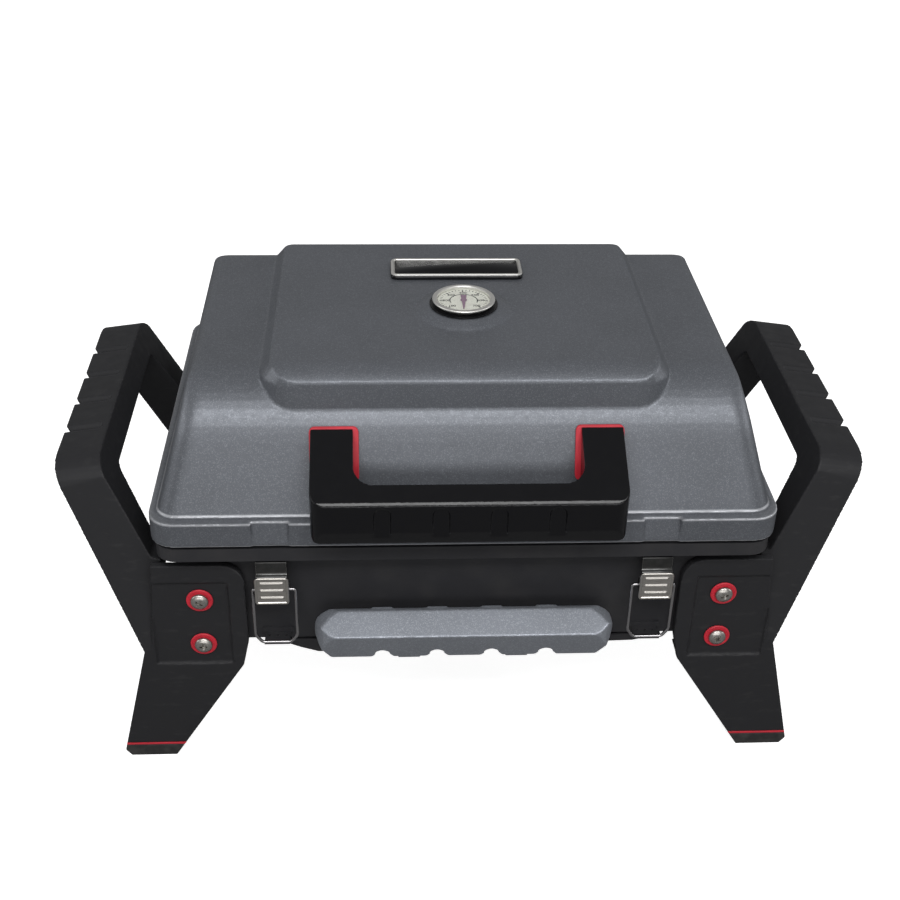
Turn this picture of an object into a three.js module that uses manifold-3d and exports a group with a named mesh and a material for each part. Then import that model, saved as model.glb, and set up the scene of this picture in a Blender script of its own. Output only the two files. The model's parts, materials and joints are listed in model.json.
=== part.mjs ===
// Portable tabletop gas grill. Millimetres, +Z up, +Y to the back; the cook stands at -Y.
// The origin is on the ground, under the middle of the grill's outer box.
import * as THREE from "three";
import { mergeVertices } from "three/addons/utils/BufferGeometryUtils.js";
import Module from "manifold-3d";

const wasm = await Module();
wasm.setup();

// ---- driving dimensions ----------------------------------------------------

const GAP = 0.3; // between neighbouring pieces
const MIDDLE_Y = 4.5; // middle of the body and side frames, front to back
const WALL = 4; // thickness of the castings

// Lid
const RIM_HALF_X = 232.3;
const RIM_HALF_Y = 162.2;
const RIM_CORNER = 19;
const RIM_BOTTOM = 217.5;
const RIM_TOP = 238;
const LEDGE = 8.4; // flat step from the rim band in to the foot of the dome, front and rear
const SIDE_LEDGE = 5.7;
const DOME_TOP = 328;
const SIDE_DRAFT = 0.281;
const FRONT_DRAFT = 0.364;
const REAR_DRAFT = 0.4;
const FRONT_EDGE_R = 38;
const REAR_EDGE_R = 15;
const SIDE_EDGE_R = 8;
const REAR_CORNER = 9;
const PANEL_RISE = 11; // raised centre panel
const PANEL_HALF_X = 150;
const PANEL_SIDE_RUN = 8; // how far the panel's side step leans in over its rise
const PANEL_FRONT_Y = -116;
const PANEL_FRONT_DRAFT = 0.06;
const PANEL_FRONT_R = 29; // the panel's top rolls over towards its front step
const PANEL_REAR_DRAFT = 0.55;
const PANEL_REAR_Y = 109;
const PANEL_CORNER = 25;
const PANEL_REAR_CORNER = 7;
const PANEL_ROOT = 290; // inside the dome

// Firebox
const BOX_TOP = RIM_BOTTOM - GAP;
const FLANGE_BOTTOM = 202.7;
const SHELF_TOP = FLANGE_BOTTOM + 2.5; // the grate rests here, inside the flange
const FLANGE_INSET = 2.8; // flange face behind the lid's rim face
const REBATE = 3.2; // shadow line round the top of the flange, as deep as it is tall
const BOX_BOTTOM = 113;
const BOX_HALF_X = 212;
const BOX_HALF_Y = 143.5;
const BOX_DRAFT = 0.05;
const FLOOR = 6;
const DRAIN_R = 17;

// Side frames
const FRAME_FACE = 150.5; // front panel's face, measured out from MIDDLE_Y
const PLATE = 6;
const GRIP_OUTER_X = 304.8;
const GRIP_TOP = 259.4;
const KINK_X = 247;
const KINK_Z = 109;
const BOLT_X = 200.7;
const BOLT_Z = [159, 116.5];
const FOOT_PAD_TOP = 11.5;
const FOOT_INSERT_TOP = 13.6;

// Hinge
const HINGE_X = 120;
const HINGE_Y = 177;
const HINGE_Z = RIM_BOTTOM;
const KNUCKLE_R = 7;
const PIN_R = 3;
const PIN_HOLE_R = 3.5;

// Temperature gauge
const GAUGE_X = 2.2;
const GAUGE_Y = -16;
const BOSS_TOP = DOME_TOP + PANEL_RISE + 4.5;
const BOSS_R = 36;
const BEZEL_R = 24.3;
const BEZEL_RIM = 3.6;
const DIAL_R = BEZEL_R - BEZEL_RIM - 0.5;

// Lid handle
const POST_INNER_X = 82.4;
const POST_OUTER_X = 113;
const POST_MIDDLE_X = (POST_INNER_X + POST_OUTER_X) / 2;
const SCREW_Z = 279;
const SCREW_BORE_R = 2.8;
const GASKET = 2; // thickness

// Latches
const LATCH_X = 143.6;
const BAIL_Y = -151;
const BAIL_Z = 122.4;
const BAIL_HALF_X = 16;
const WIRE_R = 1.25;
const LEVER_Z = 173.5;
const LEVER_HALF_X = 12.8;
const LEVER_SHIFT = 1.3; // outwards from the middle of its bail

// Gas side
const BURNER_Z = 145;
const VALVE_X = 226.5;
const VALVE_END_X = 238;
const IGNITER_Y = 42;
const IGNITER_Z = 165;
const ELECTRODE_Y = -18;
const ELECTRODE_Z = 158;

// ---- materials -------------------------------------------------------------

const finish = (color, roughness, metalness) =>
  new THREE.MeshStandardMaterial({ color, roughness, metalness });

const slateCasting = finish(0x5c5f66, 0.48, 0.55);
const blackCasting = finish(0x232326, 0.5, 0.3);
const mouldedBlack = finish(0x1b1b1d, 0.62, 0);
const glossBlack = finish(0x101012, 0.25, 0);
const redRubber = finish(0xc8283c, 0.6, 0);
const nickel = finish(0xb9b2a4, 0.3, 1);
const chrome = finish(0xc9c9cc, 0.15, 1);
const steel = finish(0x8f8b85, 0.35, 1);
const enamel = finish(0x1e1e1f, 0.35, 0.1);
const brass = finish(0xb08d4a, 0.35, 1);
const ceramic = finish(0xe6e2d8, 0.5, 0);
const dialCream = finish(0xded8c8, 0.7, 0);
const pointerRed = finish(0x8a4a66, 0.5, 0);
const glass = finish(0xdfe8ea, 0.05, 0);

// ---- geometry helpers ------------------------------------------------------

const AXIS_X = new THREE.Vector3(1, 0, 0);
const AXIS_Y = new THREE.Vector3(0, 1, 0);
const AXIS_Z = new THREE.Vector3(0, 0, 1);
const MINUS_Y = new THREE.Vector3(0, -1, 0);

// Welds a geometry, drops triangles of no area and turns its faces outwards.
function weld(geometry) {
  const bare = geometry.clone();
  bare.deleteAttribute("normal");
  bare.deleteAttribute("uv");
  const welded = mergeVertices(bare);
  const position = welded.attributes.position;
  const corner = [new THREE.Vector3(), new THREE.Vector3(), new THREE.Vector3()];
  const kept = [];
  let volume = 0;
  for (let i = 0; i < welded.index.count; i += 3) {
    const [a, b, c] = [0, 1, 2].map((k) => welded.index.getX(i + k));
    if (a === b || b === c || c === a) continue;
    [a, b, c].forEach((v, k) => corner[k].fromBufferAttribute(position, v));
    volume += corner[0].dot(corner[1].clone().cross(corner[2]));
    kept.push([a, b, c]);
  }
  const triangles = volume < 0 ? kept.map(([a, b, c]) => [a, c, b]) : kept;
  return { position: position.array, index: triangles.flat() };
}

function solidOf(geometry) {
  const { position, index } = weld(geometry);
  return new wasm.Manifold(
    new wasm.Mesh({
      numProp: 3,
      vertProperties: new Float32Array(position),
      triVerts: new Uint32Array(index),
    }),
  );
}

function geometryOf(solid) {
  const { vertProperties, triVerts } = solid.getMesh();
  const geometry = new THREE.BufferGeometry();
  geometry.setAttribute("position", new THREE.BufferAttribute(vertProperties, 3));
  geometry.setIndex(new THREE.BufferAttribute(triVerts, 1));
  return geometry;
}

const join = (...geometries) => geometries.map(solidOf).reduce((a, b) => a.add(b));
const common = (...geometries) => geometries.map(solidOf).reduce((a, b) => a.intersect(b));
const cut = (solid, ...geometries) => geometries.map(solidOf).reduce((a, b) => a.subtract(b), solid);

const outline = (points) => new THREE.Shape(points.map(([a, b]) => new THREE.Vector2(a, b)));

function extrude(shape, depth, arcSteps, steps = 1) {
  return new THREE.ExtrudeGeometry(shape, { depth, steps, bevelEnabled: false, curveSegments: arcSteps });
}

// An outline in (y, z) carried along X, in (x, z) along Y, or in (x, y) along Z.
function alongX(shape, x0, x1, arcSteps = 3) {
  const place = new THREE.Matrix4().makeBasis(AXIS_Y, AXIS_Z, AXIS_X).setPosition(x0, 0, 0);
  return extrude(shape, x1 - x0, arcSteps).applyMatrix4(place);
}

function alongY(shape, y0, y1, arcSteps = 3) {
  const place = new THREE.Matrix4().makeBasis(AXIS_X, AXIS_Z, MINUS_Y).setPosition(0, y1, 0);
  return extrude(shape, y1 - y0, arcSteps).applyMatrix4(place);
}

function alongZ(shape, z0, z1, arcSteps = 3) {
  return extrude(shape, z1 - z0, arcSteps).translate(0, 0, z0);
}

function block(x0, x1, y0, y1, z0, z1) {
  const box = new THREE.BoxGeometry(x1 - x0, y1 - y0, z1 - z0);
  return box.translate((x0 + x1) / 2, (y0 + y1) / 2, (z0 + z1) / 2);
}

function rodX(x0, x1, y, z, r, sides = 16) {
  const rod = new THREE.CylinderGeometry(r, r, x1 - x0, sides);
  return rod.rotateZ(-Math.PI / 2).translate((x0 + x1) / 2, y, z);
}

function rodY(y0, y1, x, z, r, sides = 16) {
  return new THREE.CylinderGeometry(r, r, y1 - y0, sides).translate(x, (y0 + y1) / 2, z);
}

function rodZ(z0, z1, x, y, r, sides = 16, topR = r) {
  const rod = new THREE.CylinderGeometry(topR, r, z1 - z0, sides);
  return rod.rotateX(Math.PI / 2).translate(x, y, (z0 + z1) / 2);
}

// A turned piece: profile points are (radius, height), from the axis back to the axis.
function turned(profile, sides = 24) {
  const points = profile.map(([r, h]) => new THREE.Vector2(r, h));
  return new THREE.LatheGeometry(points, sides);
}

const turnedZ = (profile, x, y, sides) => turned(profile, sides).rotateX(Math.PI / 2).translate(x, y, 0);
const turnedX = (profile, y, z, sides) => turned(profile, sides).rotateZ(-Math.PI / 2).translate(0, y, z);

function roundedRect(halfX, halfY, r, x = 0, y = 0, farR = r) {
  const shape = new THREE.Shape();
  shape.absarc(x + halfX - farR, y + halfY - farR, farR, 0, Math.PI / 2);
  shape.absarc(x - halfX + farR, y + halfY - farR, farR, Math.PI / 2, Math.PI);
  shape.absarc(x - halfX + r, y - halfY + r, r, Math.PI, 1.5 * Math.PI);
  shape.absarc(x + halfX - r, y - halfY + r, r, 1.5 * Math.PI, 2 * Math.PI);
  return shape;
}

// A rounded box whose section changes with height: sectionAt(z) gives { halfX, front, rear }.
function risingBody(heights, corner, sectionAt, rearCorner = corner) {
  const base = sectionAt(heights[0]);
  const baseHalfY = (base.rear - base.front) / 2;
  const levels = heights.length - 1;
  const plan = roundedRect(base.halfX, baseHalfY, corner, 0, 0, rearCorner);
  const body = extrude(plan, 1, 3, levels);
  const position = body.attributes.position;
  for (let i = 0; i < position.count; i += 1) {
    const z = heights[Math.round(position.getZ(i) * levels)];
    const { halfX, front, rear } = sectionAt(z);
    const y = (front + rear) / 2 + (position.getY(i) / baseHalfY) * ((rear - front) / 2);
    position.setXYZ(i, (position.getX(i) / base.halfX) * halfX, y, z);
  }
  return body;
}

// Round wire through corner points, each corner eased by the given bend length.
function wire(points, r, bend, steps, arcSteps = 4) {
  const path = new THREE.CurvePath();
  const corners = points.map((p) => new THREE.Vector3(...p));
  let from = corners[0];
  for (let i = 1; i < corners.length - 1; i += 1) {
    const before = corners[i].clone().sub(corners[i - 1]).setLength(bend);
    const after = corners[i + 1].clone().sub(corners[i]).setLength(bend);
    const enter = corners[i].clone().sub(before);
    const leave = corners[i].clone().add(after);
    path.add(new THREE.LineCurve3(from, enter));
    path.add(new THREE.QuadraticBezierCurve3(enter, corners[i], leave));
    from = leave;
  }
  path.add(new THREE.LineCurve3(from, corners[corners.length - 1]));
  const section = new THREE.Shape();
  section.absarc(0, 0, r, 0, 2 * Math.PI);
  return new THREE.ExtrudeGeometry(section, {
    steps,
    extrudePath: path,
    bevelEnabled: false,
    curveSegments: arcSteps,
  });
}

// Four places evenly spaced about the middle, in steps of one pitch.
const FOUR_STEPS = [-1.5, -0.5, 0.5, 1.5];

const mirrored = (solid) => solidOf(geometryOf(solid).scale(-1, 1, 1));
const SIDES = [
  ["left", -1],
  ["right", 1],
];
const onSide = (solid, side) => (side < 0 ? mirrored(solid) : solid);

const grill = new THREE.Group();

function place(name, solid, material) {
  const mesh = new THREE.Mesh(geometryOf(solid), material);
  mesh.name = name;
  grill.add(mesh);
}

// ---- lid -------------------------------------------------------------------

// How far a rounded edge of radius r has drawn in, at a depth below the crown.
function edgeInset(depth, r) {
  if (depth >= r) return 0;
  return r - Math.sqrt(r * r - (r - Math.max(depth, 0)) ** 2);
}

// The dome's section at a height, grown outwards by skin (negative for the inside).
function domeSection(z, skin) {
  const depth = DOME_TOP + skin - z;
  const rise = z - RIM_TOP;
  const foot = RIM_HALF_Y - LEDGE + skin;
  return {
    halfX: RIM_HALF_X - SIDE_LEDGE + skin - rise * SIDE_DRAFT - edgeInset(depth, SIDE_EDGE_R + skin),
    front: MIDDLE_Y - foot + rise * FRONT_DRAFT + edgeInset(depth, FRONT_EDGE_R + skin),
    rear: MIDDLE_Y + foot - rise * REAR_DRAFT - edgeInset(depth, REAR_EDGE_R + skin),
  };
}

// The levels of the rounded front edge are spaced by equal turns of its arc.
function domeBody(bottom, skin) {
  const turns = 11;
  const heights = [bottom];
  for (let i = 0; i <= turns; i += 1) {
    const angle = (i / turns) * (Math.PI / 2);
    heights.push(DOME_TOP + skin - FRONT_EDGE_R * (1 - Math.sin(angle)));
  }
  const corner = RIM_CORNER - LEDGE / 2 + skin;
  return risingBody(heights, corner, (z) => domeSection(z, skin), REAR_CORNER + skin);
}

// The plan block that bounds the raised panel, shrunk all round by inset.
function panelBlock(top, inset) {
  const sectionAt = (z) => {
    const aboveDome = Math.max(z - DOME_TOP, 0) / PANEL_RISE;
    const below = top - z;
    return {
      halfX: PANEL_HALF_X - inset - aboveDome * PANEL_SIDE_RUN,
      front: PANEL_FRONT_Y - below * PANEL_FRONT_DRAFT + inset,
      rear: PANEL_REAR_Y + Math.min(below, PANEL_RISE) * PANEL_REAR_DRAFT - inset,
    };
  };
  return risingBody([PANEL_ROOT, DOME_TOP, top], PANEL_CORNER, sectionAt, PANEL_REAR_CORNER);
}

// Side profile of the panel's top, grown outwards by skin.
function panelCrown(skin) {
  const top = DOME_TOP + PANEL_RISE + skin;
  const radius = PANEL_FRONT_R + skin;
  const middle = top - radius;
  const shape = new THREE.Shape();
  shape.moveTo(130, PANEL_ROOT - 10);
  shape.lineTo(130, top);
  shape.absarc(PANEL_FRONT_Y + PANEL_FRONT_R * 0.67, middle, radius, Math.PI / 2, Math.PI);
  shape.lineTo(PANEL_FRONT_Y + PANEL_FRONT_R * 0.67 - radius, PANEL_ROOT - 10);
  return alongX(shape, -PANEL_HALF_X - 1, PANEL_HALF_X + 1, 16);
}

// The straight part of the front face, carried on upwards past its rounded top.
const frontFaceY = (z) => MIDDLE_Y - (RIM_HALF_Y - LEDGE) + (z - RIM_TOP) * FRONT_DRAFT;
const FRONT_FACE_TILT = Math.atan(FRONT_DRAFT);

// Moves a geometry whose +Z axis points outwards onto the dome's front face.
function onFrontFace(geometry, x) {
  return geometry.rotateX(Math.PI / 2 - FRONT_FACE_TILT).translate(x, frontFaceY(SCREW_Z), SCREW_Z);
}

function hingeLug(x0, x1, anchorY, anchorZ0, anchorZ1) {
  const web = outline([
    [anchorY, anchorZ0],
    [HINGE_Y - KNUCKLE_R * 0.5, HINGE_Z - KNUCKLE_R * 0.6],
    [HINGE_Y, HINGE_Z],
    [HINGE_Y - KNUCKLE_R * 0.4, HINGE_Z + KNUCKLE_R * 0.7],
    [anchorY, anchorZ1],
  ]);
  return join(alongX(web, x0, x1), rodX(x0, x1, HINGE_Y, HINGE_Z, KNUCKLE_R, 20));
}

// A tapered recess in the rim above each latch, deepest at the top.
const RECESS_HALF_X = 13.7;
const RECESS_DEPTH = 3.6;

function lid() {
  const band = alongZ(roundedRect(RIM_HALF_X, RIM_HALF_Y, RIM_CORNER, 0, MIDDLE_Y), RIM_BOTTOM, RIM_TOP);
  const panelTop = DOME_TOP + PANEL_RISE;
  const panel = common(panelBlock(panelTop, 0), panelCrown(0));
  const bossSide = [[BOSS_R, DOME_TOP], [BOSS_R, panelTop + 1.2], [28, BOSS_TOP]];
  const boss = turnedZ([[0, DOME_TOP], ...bossSide, [0, BOSS_TOP]], GAUGE_X, GAUGE_Y, 32);
  let shell = join(band, domeBody(RIM_TOP - 1, 0), boss).add(panel);

  const rimFront = MIDDLE_Y - RIM_HALF_Y;
  const recess = outline([
    [rimFront - 1, RIM_BOTTOM - 1],
    [rimFront + 0.3, RIM_BOTTOM - 1],
    [rimFront + RECESS_DEPTH, RIM_TOP + 1],
    [rimFront - 1, RIM_TOP + 1],
  ]);
  const bandInside = RIM_HALF_Y - WALL;
  const channel = roundedRect(RIM_HALF_X - WALL, bandInside, RIM_CORNER - WALL, 0, MIDDLE_Y);
  let hollow = solidOf(alongZ(channel, RIM_BOTTOM - 1, RIM_TOP - WALL));
  for (const side of [-1, 1]) {
    const [x0, x1] = [side * LATCH_X - RECESS_HALF_X, side * LATCH_X + RECESS_HALF_X];
    const backing = [rimFront, rimFront + RECESS_DEPTH + WALL];
    hollow = cut(hollow, block(x0 - WALL, x1 + WALL, ...backing, RIM_BOTTOM - 2, RIM_TOP));
    shell = cut(shell, alongX(recess, x0, x1));
  }
  const panelHollow = common(panelBlock(panelTop - WALL, WALL), panelCrown(-WALL));
  shell = shell.subtract(hollow).subtract(solidOf(domeBody(RIM_TOP - WALL - 1, -WALL)));
  shell = shell.subtract(panelHollow);

  for (const side of [-1, 1]) {
    const middle = side * HINGE_X;
    const bandRear = MIDDLE_Y + RIM_HALF_Y - 1;
    shell = shell.add(hingeLug(middle - 6, middle + 6, bandRear, RIM_BOTTOM + 2, RIM_TOP - 2));
    shell = cut(shell, rodX(middle - 10, middle + 10, HINGE_Y, HINGE_Z, PIN_HOLE_R));
    const screwHole = rodZ(-WALL * 3, WALL * 2, 0, 0, SCREW_BORE_R, 10);
    shell = cut(shell, onFrontFace(screwHole, side * POST_MIDDLE_X));
  }
  return cut(shell, rodZ(DOME_TOP - WALL * 2, BOSS_TOP + 1, GAUGE_X, GAUGE_Y, 4.6, 16));
}

const BAR_FRONT_Y = -184;
const BAR_BACK_Y = -169;
const BAR_CORNER = 14; // inner corners, where the bar turns into the posts
const BAR_NOSE = 10; // outer corners

// Handle in plan: a U whose bar stands in front and whose ends meet the lid.
function handlePlan() {
  const reach = -110;
  const inner = POST_INNER_X - BAR_CORNER;
  const nose = POST_OUTER_X - BAR_NOSE;
  const shape = new THREE.Shape();
  shape.moveTo(-POST_OUTER_X, reach);
  shape.lineTo(-POST_OUTER_X, BAR_FRONT_Y + BAR_NOSE);
  shape.absarc(-nose, BAR_FRONT_Y + BAR_NOSE, BAR_NOSE, Math.PI, 1.5 * Math.PI);
  shape.lineTo(nose, BAR_FRONT_Y);
  shape.absarc(nose, BAR_FRONT_Y + BAR_NOSE, BAR_NOSE, -Math.PI / 2, 0);
  shape.lineTo(POST_OUTER_X, reach);
  shape.lineTo(POST_INNER_X, reach);
  shape.lineTo(POST_INNER_X, BAR_BACK_Y + BAR_CORNER);
  shape.absarc(inner, BAR_BACK_Y + BAR_CORNER, BAR_CORNER, 0, -Math.PI / 2, true);
  shape.lineTo(-inner, BAR_BACK_Y);
  shape.absarc(-inner, BAR_BACK_Y + BAR_CORNER, BAR_CORNER, -Math.PI / 2, -Math.PI, true);
  shape.lineTo(-POST_INNER_X, reach);
  return shape;
}

const BAR_FACE_TOP_Z = 270;
const BAR_CHAMFER = 2.2;
const BAR_FACE_BOTTOM_Z = 248; // below this the bar draws back to its underside
const BAR_BOTTOM_Z = 234.5;
const BAR_END_R = 9;

const POST_TOP_Z = 301;
const POST_BOTTOM_Z = 264;

// Handle from the side: from the gasket the top slopes down and forwards to the bar.
function handleSide() {
  const seat = GASKET + 2 * GAP;
  const shape = new THREE.Shape();
  shape.moveTo(frontFaceY(POST_TOP_Z) - seat, POST_TOP_Z);
  shape.lineTo(BAR_FRONT_Y + BAR_CHAMFER, BAR_FACE_TOP_Z + BAR_CHAMFER * 1.11);
  shape.lineTo(BAR_FRONT_Y, BAR_FACE_TOP_Z);
  shape.lineTo(BAR_FRONT_Y, BAR_FACE_BOTTOM_Z);
  shape.lineTo(BAR_FRONT_Y + 4.5, BAR_BOTTOM_Z + 1);
  shape.quadraticCurveTo(BAR_FRONT_Y + 5.5, BAR_BOTTOM_Z, BAR_FRONT_Y + 8, BAR_BOTTOM_Z);
  shape.quadraticCurveTo(-168, BAR_BOTTOM_Z, -164, 254);
  shape.lineTo(frontFaceY(POST_BOTTOM_Z) - seat - 5, POST_BOTTOM_Z - 3);
  shape.lineTo(frontFaceY(POST_BOTTOM_Z) - seat, POST_BOTTOM_Z);
  return shape;
}

const BAR_RECESS_X = [-62, -20.5, 20.5, 62];
const BAR_RECESS_Z = 262; // springing height of the recess arches
const BAR_RECESS_R = 6;
const BAR_RECESS_DEPTH = 2;

function lidHandle() {
  const width = [-POST_OUTER_X, POST_OUTER_X];
  const tall = 50;
  const front = roundedRect(POST_OUTER_X, tall, BAR_END_R, 0, BAR_BOTTOM_Z + tall);
  const plan = alongZ(handlePlan(), BAR_BOTTOM_Z - 2, POST_TOP_Z + 9, 4);
  let handle = common(plan, alongX(handleSide(), ...width, 4), alongY(front, BAR_FRONT_Y - 6, -100, 4));
  const recess = [BAR_FRONT_Y - 1, BAR_FRONT_Y + BAR_RECESS_DEPTH];
  for (const x of BAR_RECESS_X) {
    const arch = rodY(...recess, x, BAR_RECESS_Z, BAR_RECESS_R, 16);
    const below = block(x - BAR_RECESS_R, x + BAR_RECESS_R, ...recess, 240, BAR_RECESS_Z);
    handle = cut(handle, arch, below);
  }
  for (const side of [-1, 1]) {
    const bore = rodZ(2, 18, 0, 0, SCREW_BORE_R, 10);
    handle = cut(handle, onFrontFace(bore, side * POST_MIDDLE_X));
  }
  return handle;
}

// The gasket stands proud of the post: a little above and outside, more on the inner side.
function handleGasket(side) {
  const near = GAP;
  const far = GASKET + GAP;
  const bottom = POST_BOTTOM_Z - 1;
  const top = POST_TOP_Z + 0.4;
  const [x0, x1] = [POST_INNER_X - 4, POST_OUTER_X + 1];
  const pad = outline([
    [frontFaceY(bottom) - near, bottom],
    [frontFaceY(top) - near, top],
    [frontFaceY(top) - far, top],
    [frontFaceY(bottom) - far, bottom],
  ]);
  const face = roundedRect((x1 - x0) / 2, (top - bottom) / 2, 4, (x0 + x1) / 2, (top + bottom) / 2);
  const body = common(alongX(pad, x0, x1), alongY(face, -170, -110));
  const hole = onFrontFace(rodZ(-3, 8, 0, 0, SCREW_BORE_R, 10), POST_MIDDLE_X);
  return onSide(cut(body, hole), side);
}

function handleScrew(side) {
  const head = -WALL - GAP - 0.4;
  const tip = 16;
  const screw = turned([[0, head - 3], [5, head - 2.4], [5, head], [2.2, head], [2.2, tip], [0, tip]], 12);
  return onSide(solidOf(onFrontFace(screw.rotateX(Math.PI / 2), POST_MIDDLE_X)), side);
}

function badgePlate() {
  const seat = DOME_TOP + PANEL_RISE + GAP;
  return solidOf(alongZ(roundedRect(53.5, 16.5, 6, 0, 53.7), seat, seat + 4.2));
}

// ---- temperature gauge -----------------------------------------------------

const RING_TOP = BOSS_TOP + GAP + 1;
const DIAL_SEAT = RING_TOP + GAP + 0.8;
const DIAL_TOP = DIAL_SEAT + GAP + 0.5;
const POINTER_TOP = DIAL_TOP + GAP + 0.5;

function gaugeHousing() {
  const seat = RING_TOP + GAP;
  const rimTop = POINTER_TOP + GAP + 1.3;
  const stemTip = 305;
  const profile = [
    [0, stemTip], [3, stemTip], [4, stemTip + 8], [4, seat], [BEZEL_R, seat], [BEZEL_R, rimTop - 1],
    [BEZEL_R - 1, rimTop], [BEZEL_R - BEZEL_RIM, rimTop], [BEZEL_R - BEZEL_RIM, DIAL_SEAT], [0, DIAL_SEAT],
  ];
  return solidOf(turnedZ(profile, GAUGE_X, GAUGE_Y, 24));
}

function gaugeRing() {
  const disc = solidOf(rodZ(BOSS_TOP + GAP, RING_TOP, GAUGE_X, GAUGE_Y, BEZEL_R + 2.1, 24));
  return cut(disc, rodZ(BOSS_TOP - 1, RING_TOP + 1, GAUGE_X, GAUGE_Y, 4.6, 16));
}

const gaugeDial = () => solidOf(rodZ(DIAL_SEAT + GAP, DIAL_TOP, GAUGE_X, GAUGE_Y, DIAL_R, 24));

function gaugePointer() {
  const needle = outline([[-2.4, -8.5], [2.4, -8.5], [0.4, 15], [-0.4, 15]]);
  const flat = alongZ(needle, DIAL_TOP + GAP, POINTER_TOP).rotateZ(Math.PI - 0.04);
  const hub = rodZ(DIAL_TOP + GAP, POINTER_TOP, 0, 0, 2.6, 12);
  return join(flat.translate(GAUGE_X, GAUGE_Y, 0), hub.translate(GAUGE_X, GAUGE_Y, 0));
}

function gaugeLens() {
  return solidOf(rodZ(POINTER_TOP + GAP, POINTER_TOP + GAP + 1, GAUGE_X, GAUGE_Y, DIAL_R, 24));
}

// ---- firebox ---------------------------------------------------------------

function boxSection(z, inset) {
  const drawn = (FLANGE_BOTTOM - z) * BOX_DRAFT + inset;
  return {
    halfX: BOX_HALF_X - drawn,
    front: MIDDLE_Y - BOX_HALF_Y + drawn,
    rear: MIDDLE_Y + BOX_HALF_Y - drawn,
  };
}

const PAD_FACE = FRAME_FACE - PLATE - GAP; // leg mounting pads, measured out from MIDDLE_Y

function mountingPads() {
  const pads = [];
  for (const side of [-1, 1]) {
    for (const end of [-1, 1]) {
      const x = [side * (BOLT_X - 14), side * (BOLT_X + 8)].sort((a, b) => a - b);
      const y = [MIDDLE_Y + end * (BOX_HALF_Y - 12), MIDDLE_Y + end * PAD_FACE].sort((a, b) => a - b);
      pads.push(block(...x, ...y, BOX_BOTTOM - 8, 178));
    }
  }
  return pads;
}

// Channels under the floor that carry the grease tray's side flanges.
const TRAY_LEFT = -143.8;
const TRAY_RIGHT = 158;
const TRAY_FLANGE = 5;

function trayRails() {
  const [y0, y1] = [-118, 70];
  const lip = 2.5;
  const bottom = BOX_BOTTOM - 7;
  const rail = (edge, out) => {
    const web = [edge + out * (TRAY_FLANGE + 0.7), edge + out * (TRAY_FLANGE + 4)].sort((a, b) => a - b);
    const foot = [edge + out * 1.5, edge + out * (TRAY_FLANGE + 4)].sort((a, b) => a - b);
    return [block(...web, y0, y1, bottom, BOX_BOTTOM + 1), block(...foot, y0, y1, bottom, bottom + lip)];
  };
  return [...rail(TRAY_LEFT, -1), ...rail(TRAY_RIGHT, 1)];
}

function firebox() {
  const flangeHalf = [RIM_HALF_X - FLANGE_INSET, RIM_HALF_Y - FLANGE_INSET];
  const corner = RIM_CORNER - FLANGE_INSET;
  const flange = alongZ(roundedRect(...flangeHalf, corner, 0, MIDDLE_Y), FLANGE_BOTTOM, BOX_TOP - REBATE);
  const lipHalf = flangeHalf.map((half) => half - REBATE);
  const lip = alongZ(roundedRect(...lipHalf, corner - REBATE, 0, MIDDLE_Y), SHELF_TOP, BOX_TOP);
  const walls = risingBody([BOX_BOTTOM, FLANGE_BOTTOM + 1], 24, (z) => boxSection(z, 0));
  let box = join(flange, lip, walls, ...mountingPads());

  const shelf = 10;
  const mouth = roundedRect(flangeHalf[0] - shelf, flangeHalf[1] - shelf, RIM_CORNER - shelf, 0, MIDDLE_Y);
  const inside = risingBody([BOX_BOTTOM + FLOOR, SHELF_TOP + 1], 20, (z) => boxSection(z, WALL));
  box = cut(box, alongZ(mouth, SHELF_TOP, BOX_TOP + 1), inside);

  const emitterPost = (x, y) => block(x - 5, x + 5, y - 5, y + 5, BOX_BOTTOM + 1, 168);
  const burnerPost = block(-146, -134, MIDDLE_Y - 8, MIDDLE_Y + 8, BOX_BOTTOM + 1, BURNER_Z - 11 - GAP);
  const posts = [-190, 190].flatMap((x) => [emitterPost(x, -115), emitterPost(x, 124)]);
  box = posts.concat([burnerPost], trayRails()).map(solidOf).reduce((a, b) => a.add(b), box);

  box = cut(box, rodZ(BOX_BOTTOM - 1, BOX_BOTTOM + FLOOR + 1, 0, MIDDLE_Y, DRAIN_R, 24));
  box = cut(box, rodX(190, 220, MIDDLE_Y, BURNER_Z, 8), rodX(190, 220, ELECTRODE_Y, ELECTRODE_Z, 4.2, 12));

  const flangeRear = MIDDLE_Y + flangeHalf[1] - 1;
  for (const side of [-1, 1]) {
    for (const ear of [-13, 7]) {
      const x = side * HINGE_X + ear;
      box = box.add(hingeLug(x, x + 6, flangeRear, FLANGE_BOTTOM + 2, FLANGE_BOTTOM + 10));
    }
    box = cut(box, rodX(side * HINGE_X - 20, side * HINGE_X + 20, HINGE_Y, HINGE_Z, PIN_HOLE_R));
    for (const end of [-1, 1]) {
      const y = [MIDDLE_Y + end * 120, MIDDLE_Y + end * 160].sort((a, b) => a - b);
      for (const z of BOLT_Z) {
        const deep = [MIDDLE_Y + end * (PAD_FACE - 9), y[end < 0 ? 0 : 1]].sort((a, b) => a - b);
        box = cut(box, rodY(...deep, side * BOLT_X, z, 3.5, 12));
      }
    }
  }
  return box;
}

function hingePin(side) {
  const seat = HINGE_X - 13 - GAP;
  const head = seat - 3;
  const tip = HINGE_X + 15;
  const profile = [[0, head], [5, head], [5, seat], [PIN_R, seat], [PIN_R, tip], [0, tip]];
  return onSide(solidOf(turnedX(profile, HINGE_Y, HINGE_Z, 16)), side);
}

// ---- inside the firebox ----------------------------------------------------

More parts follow.
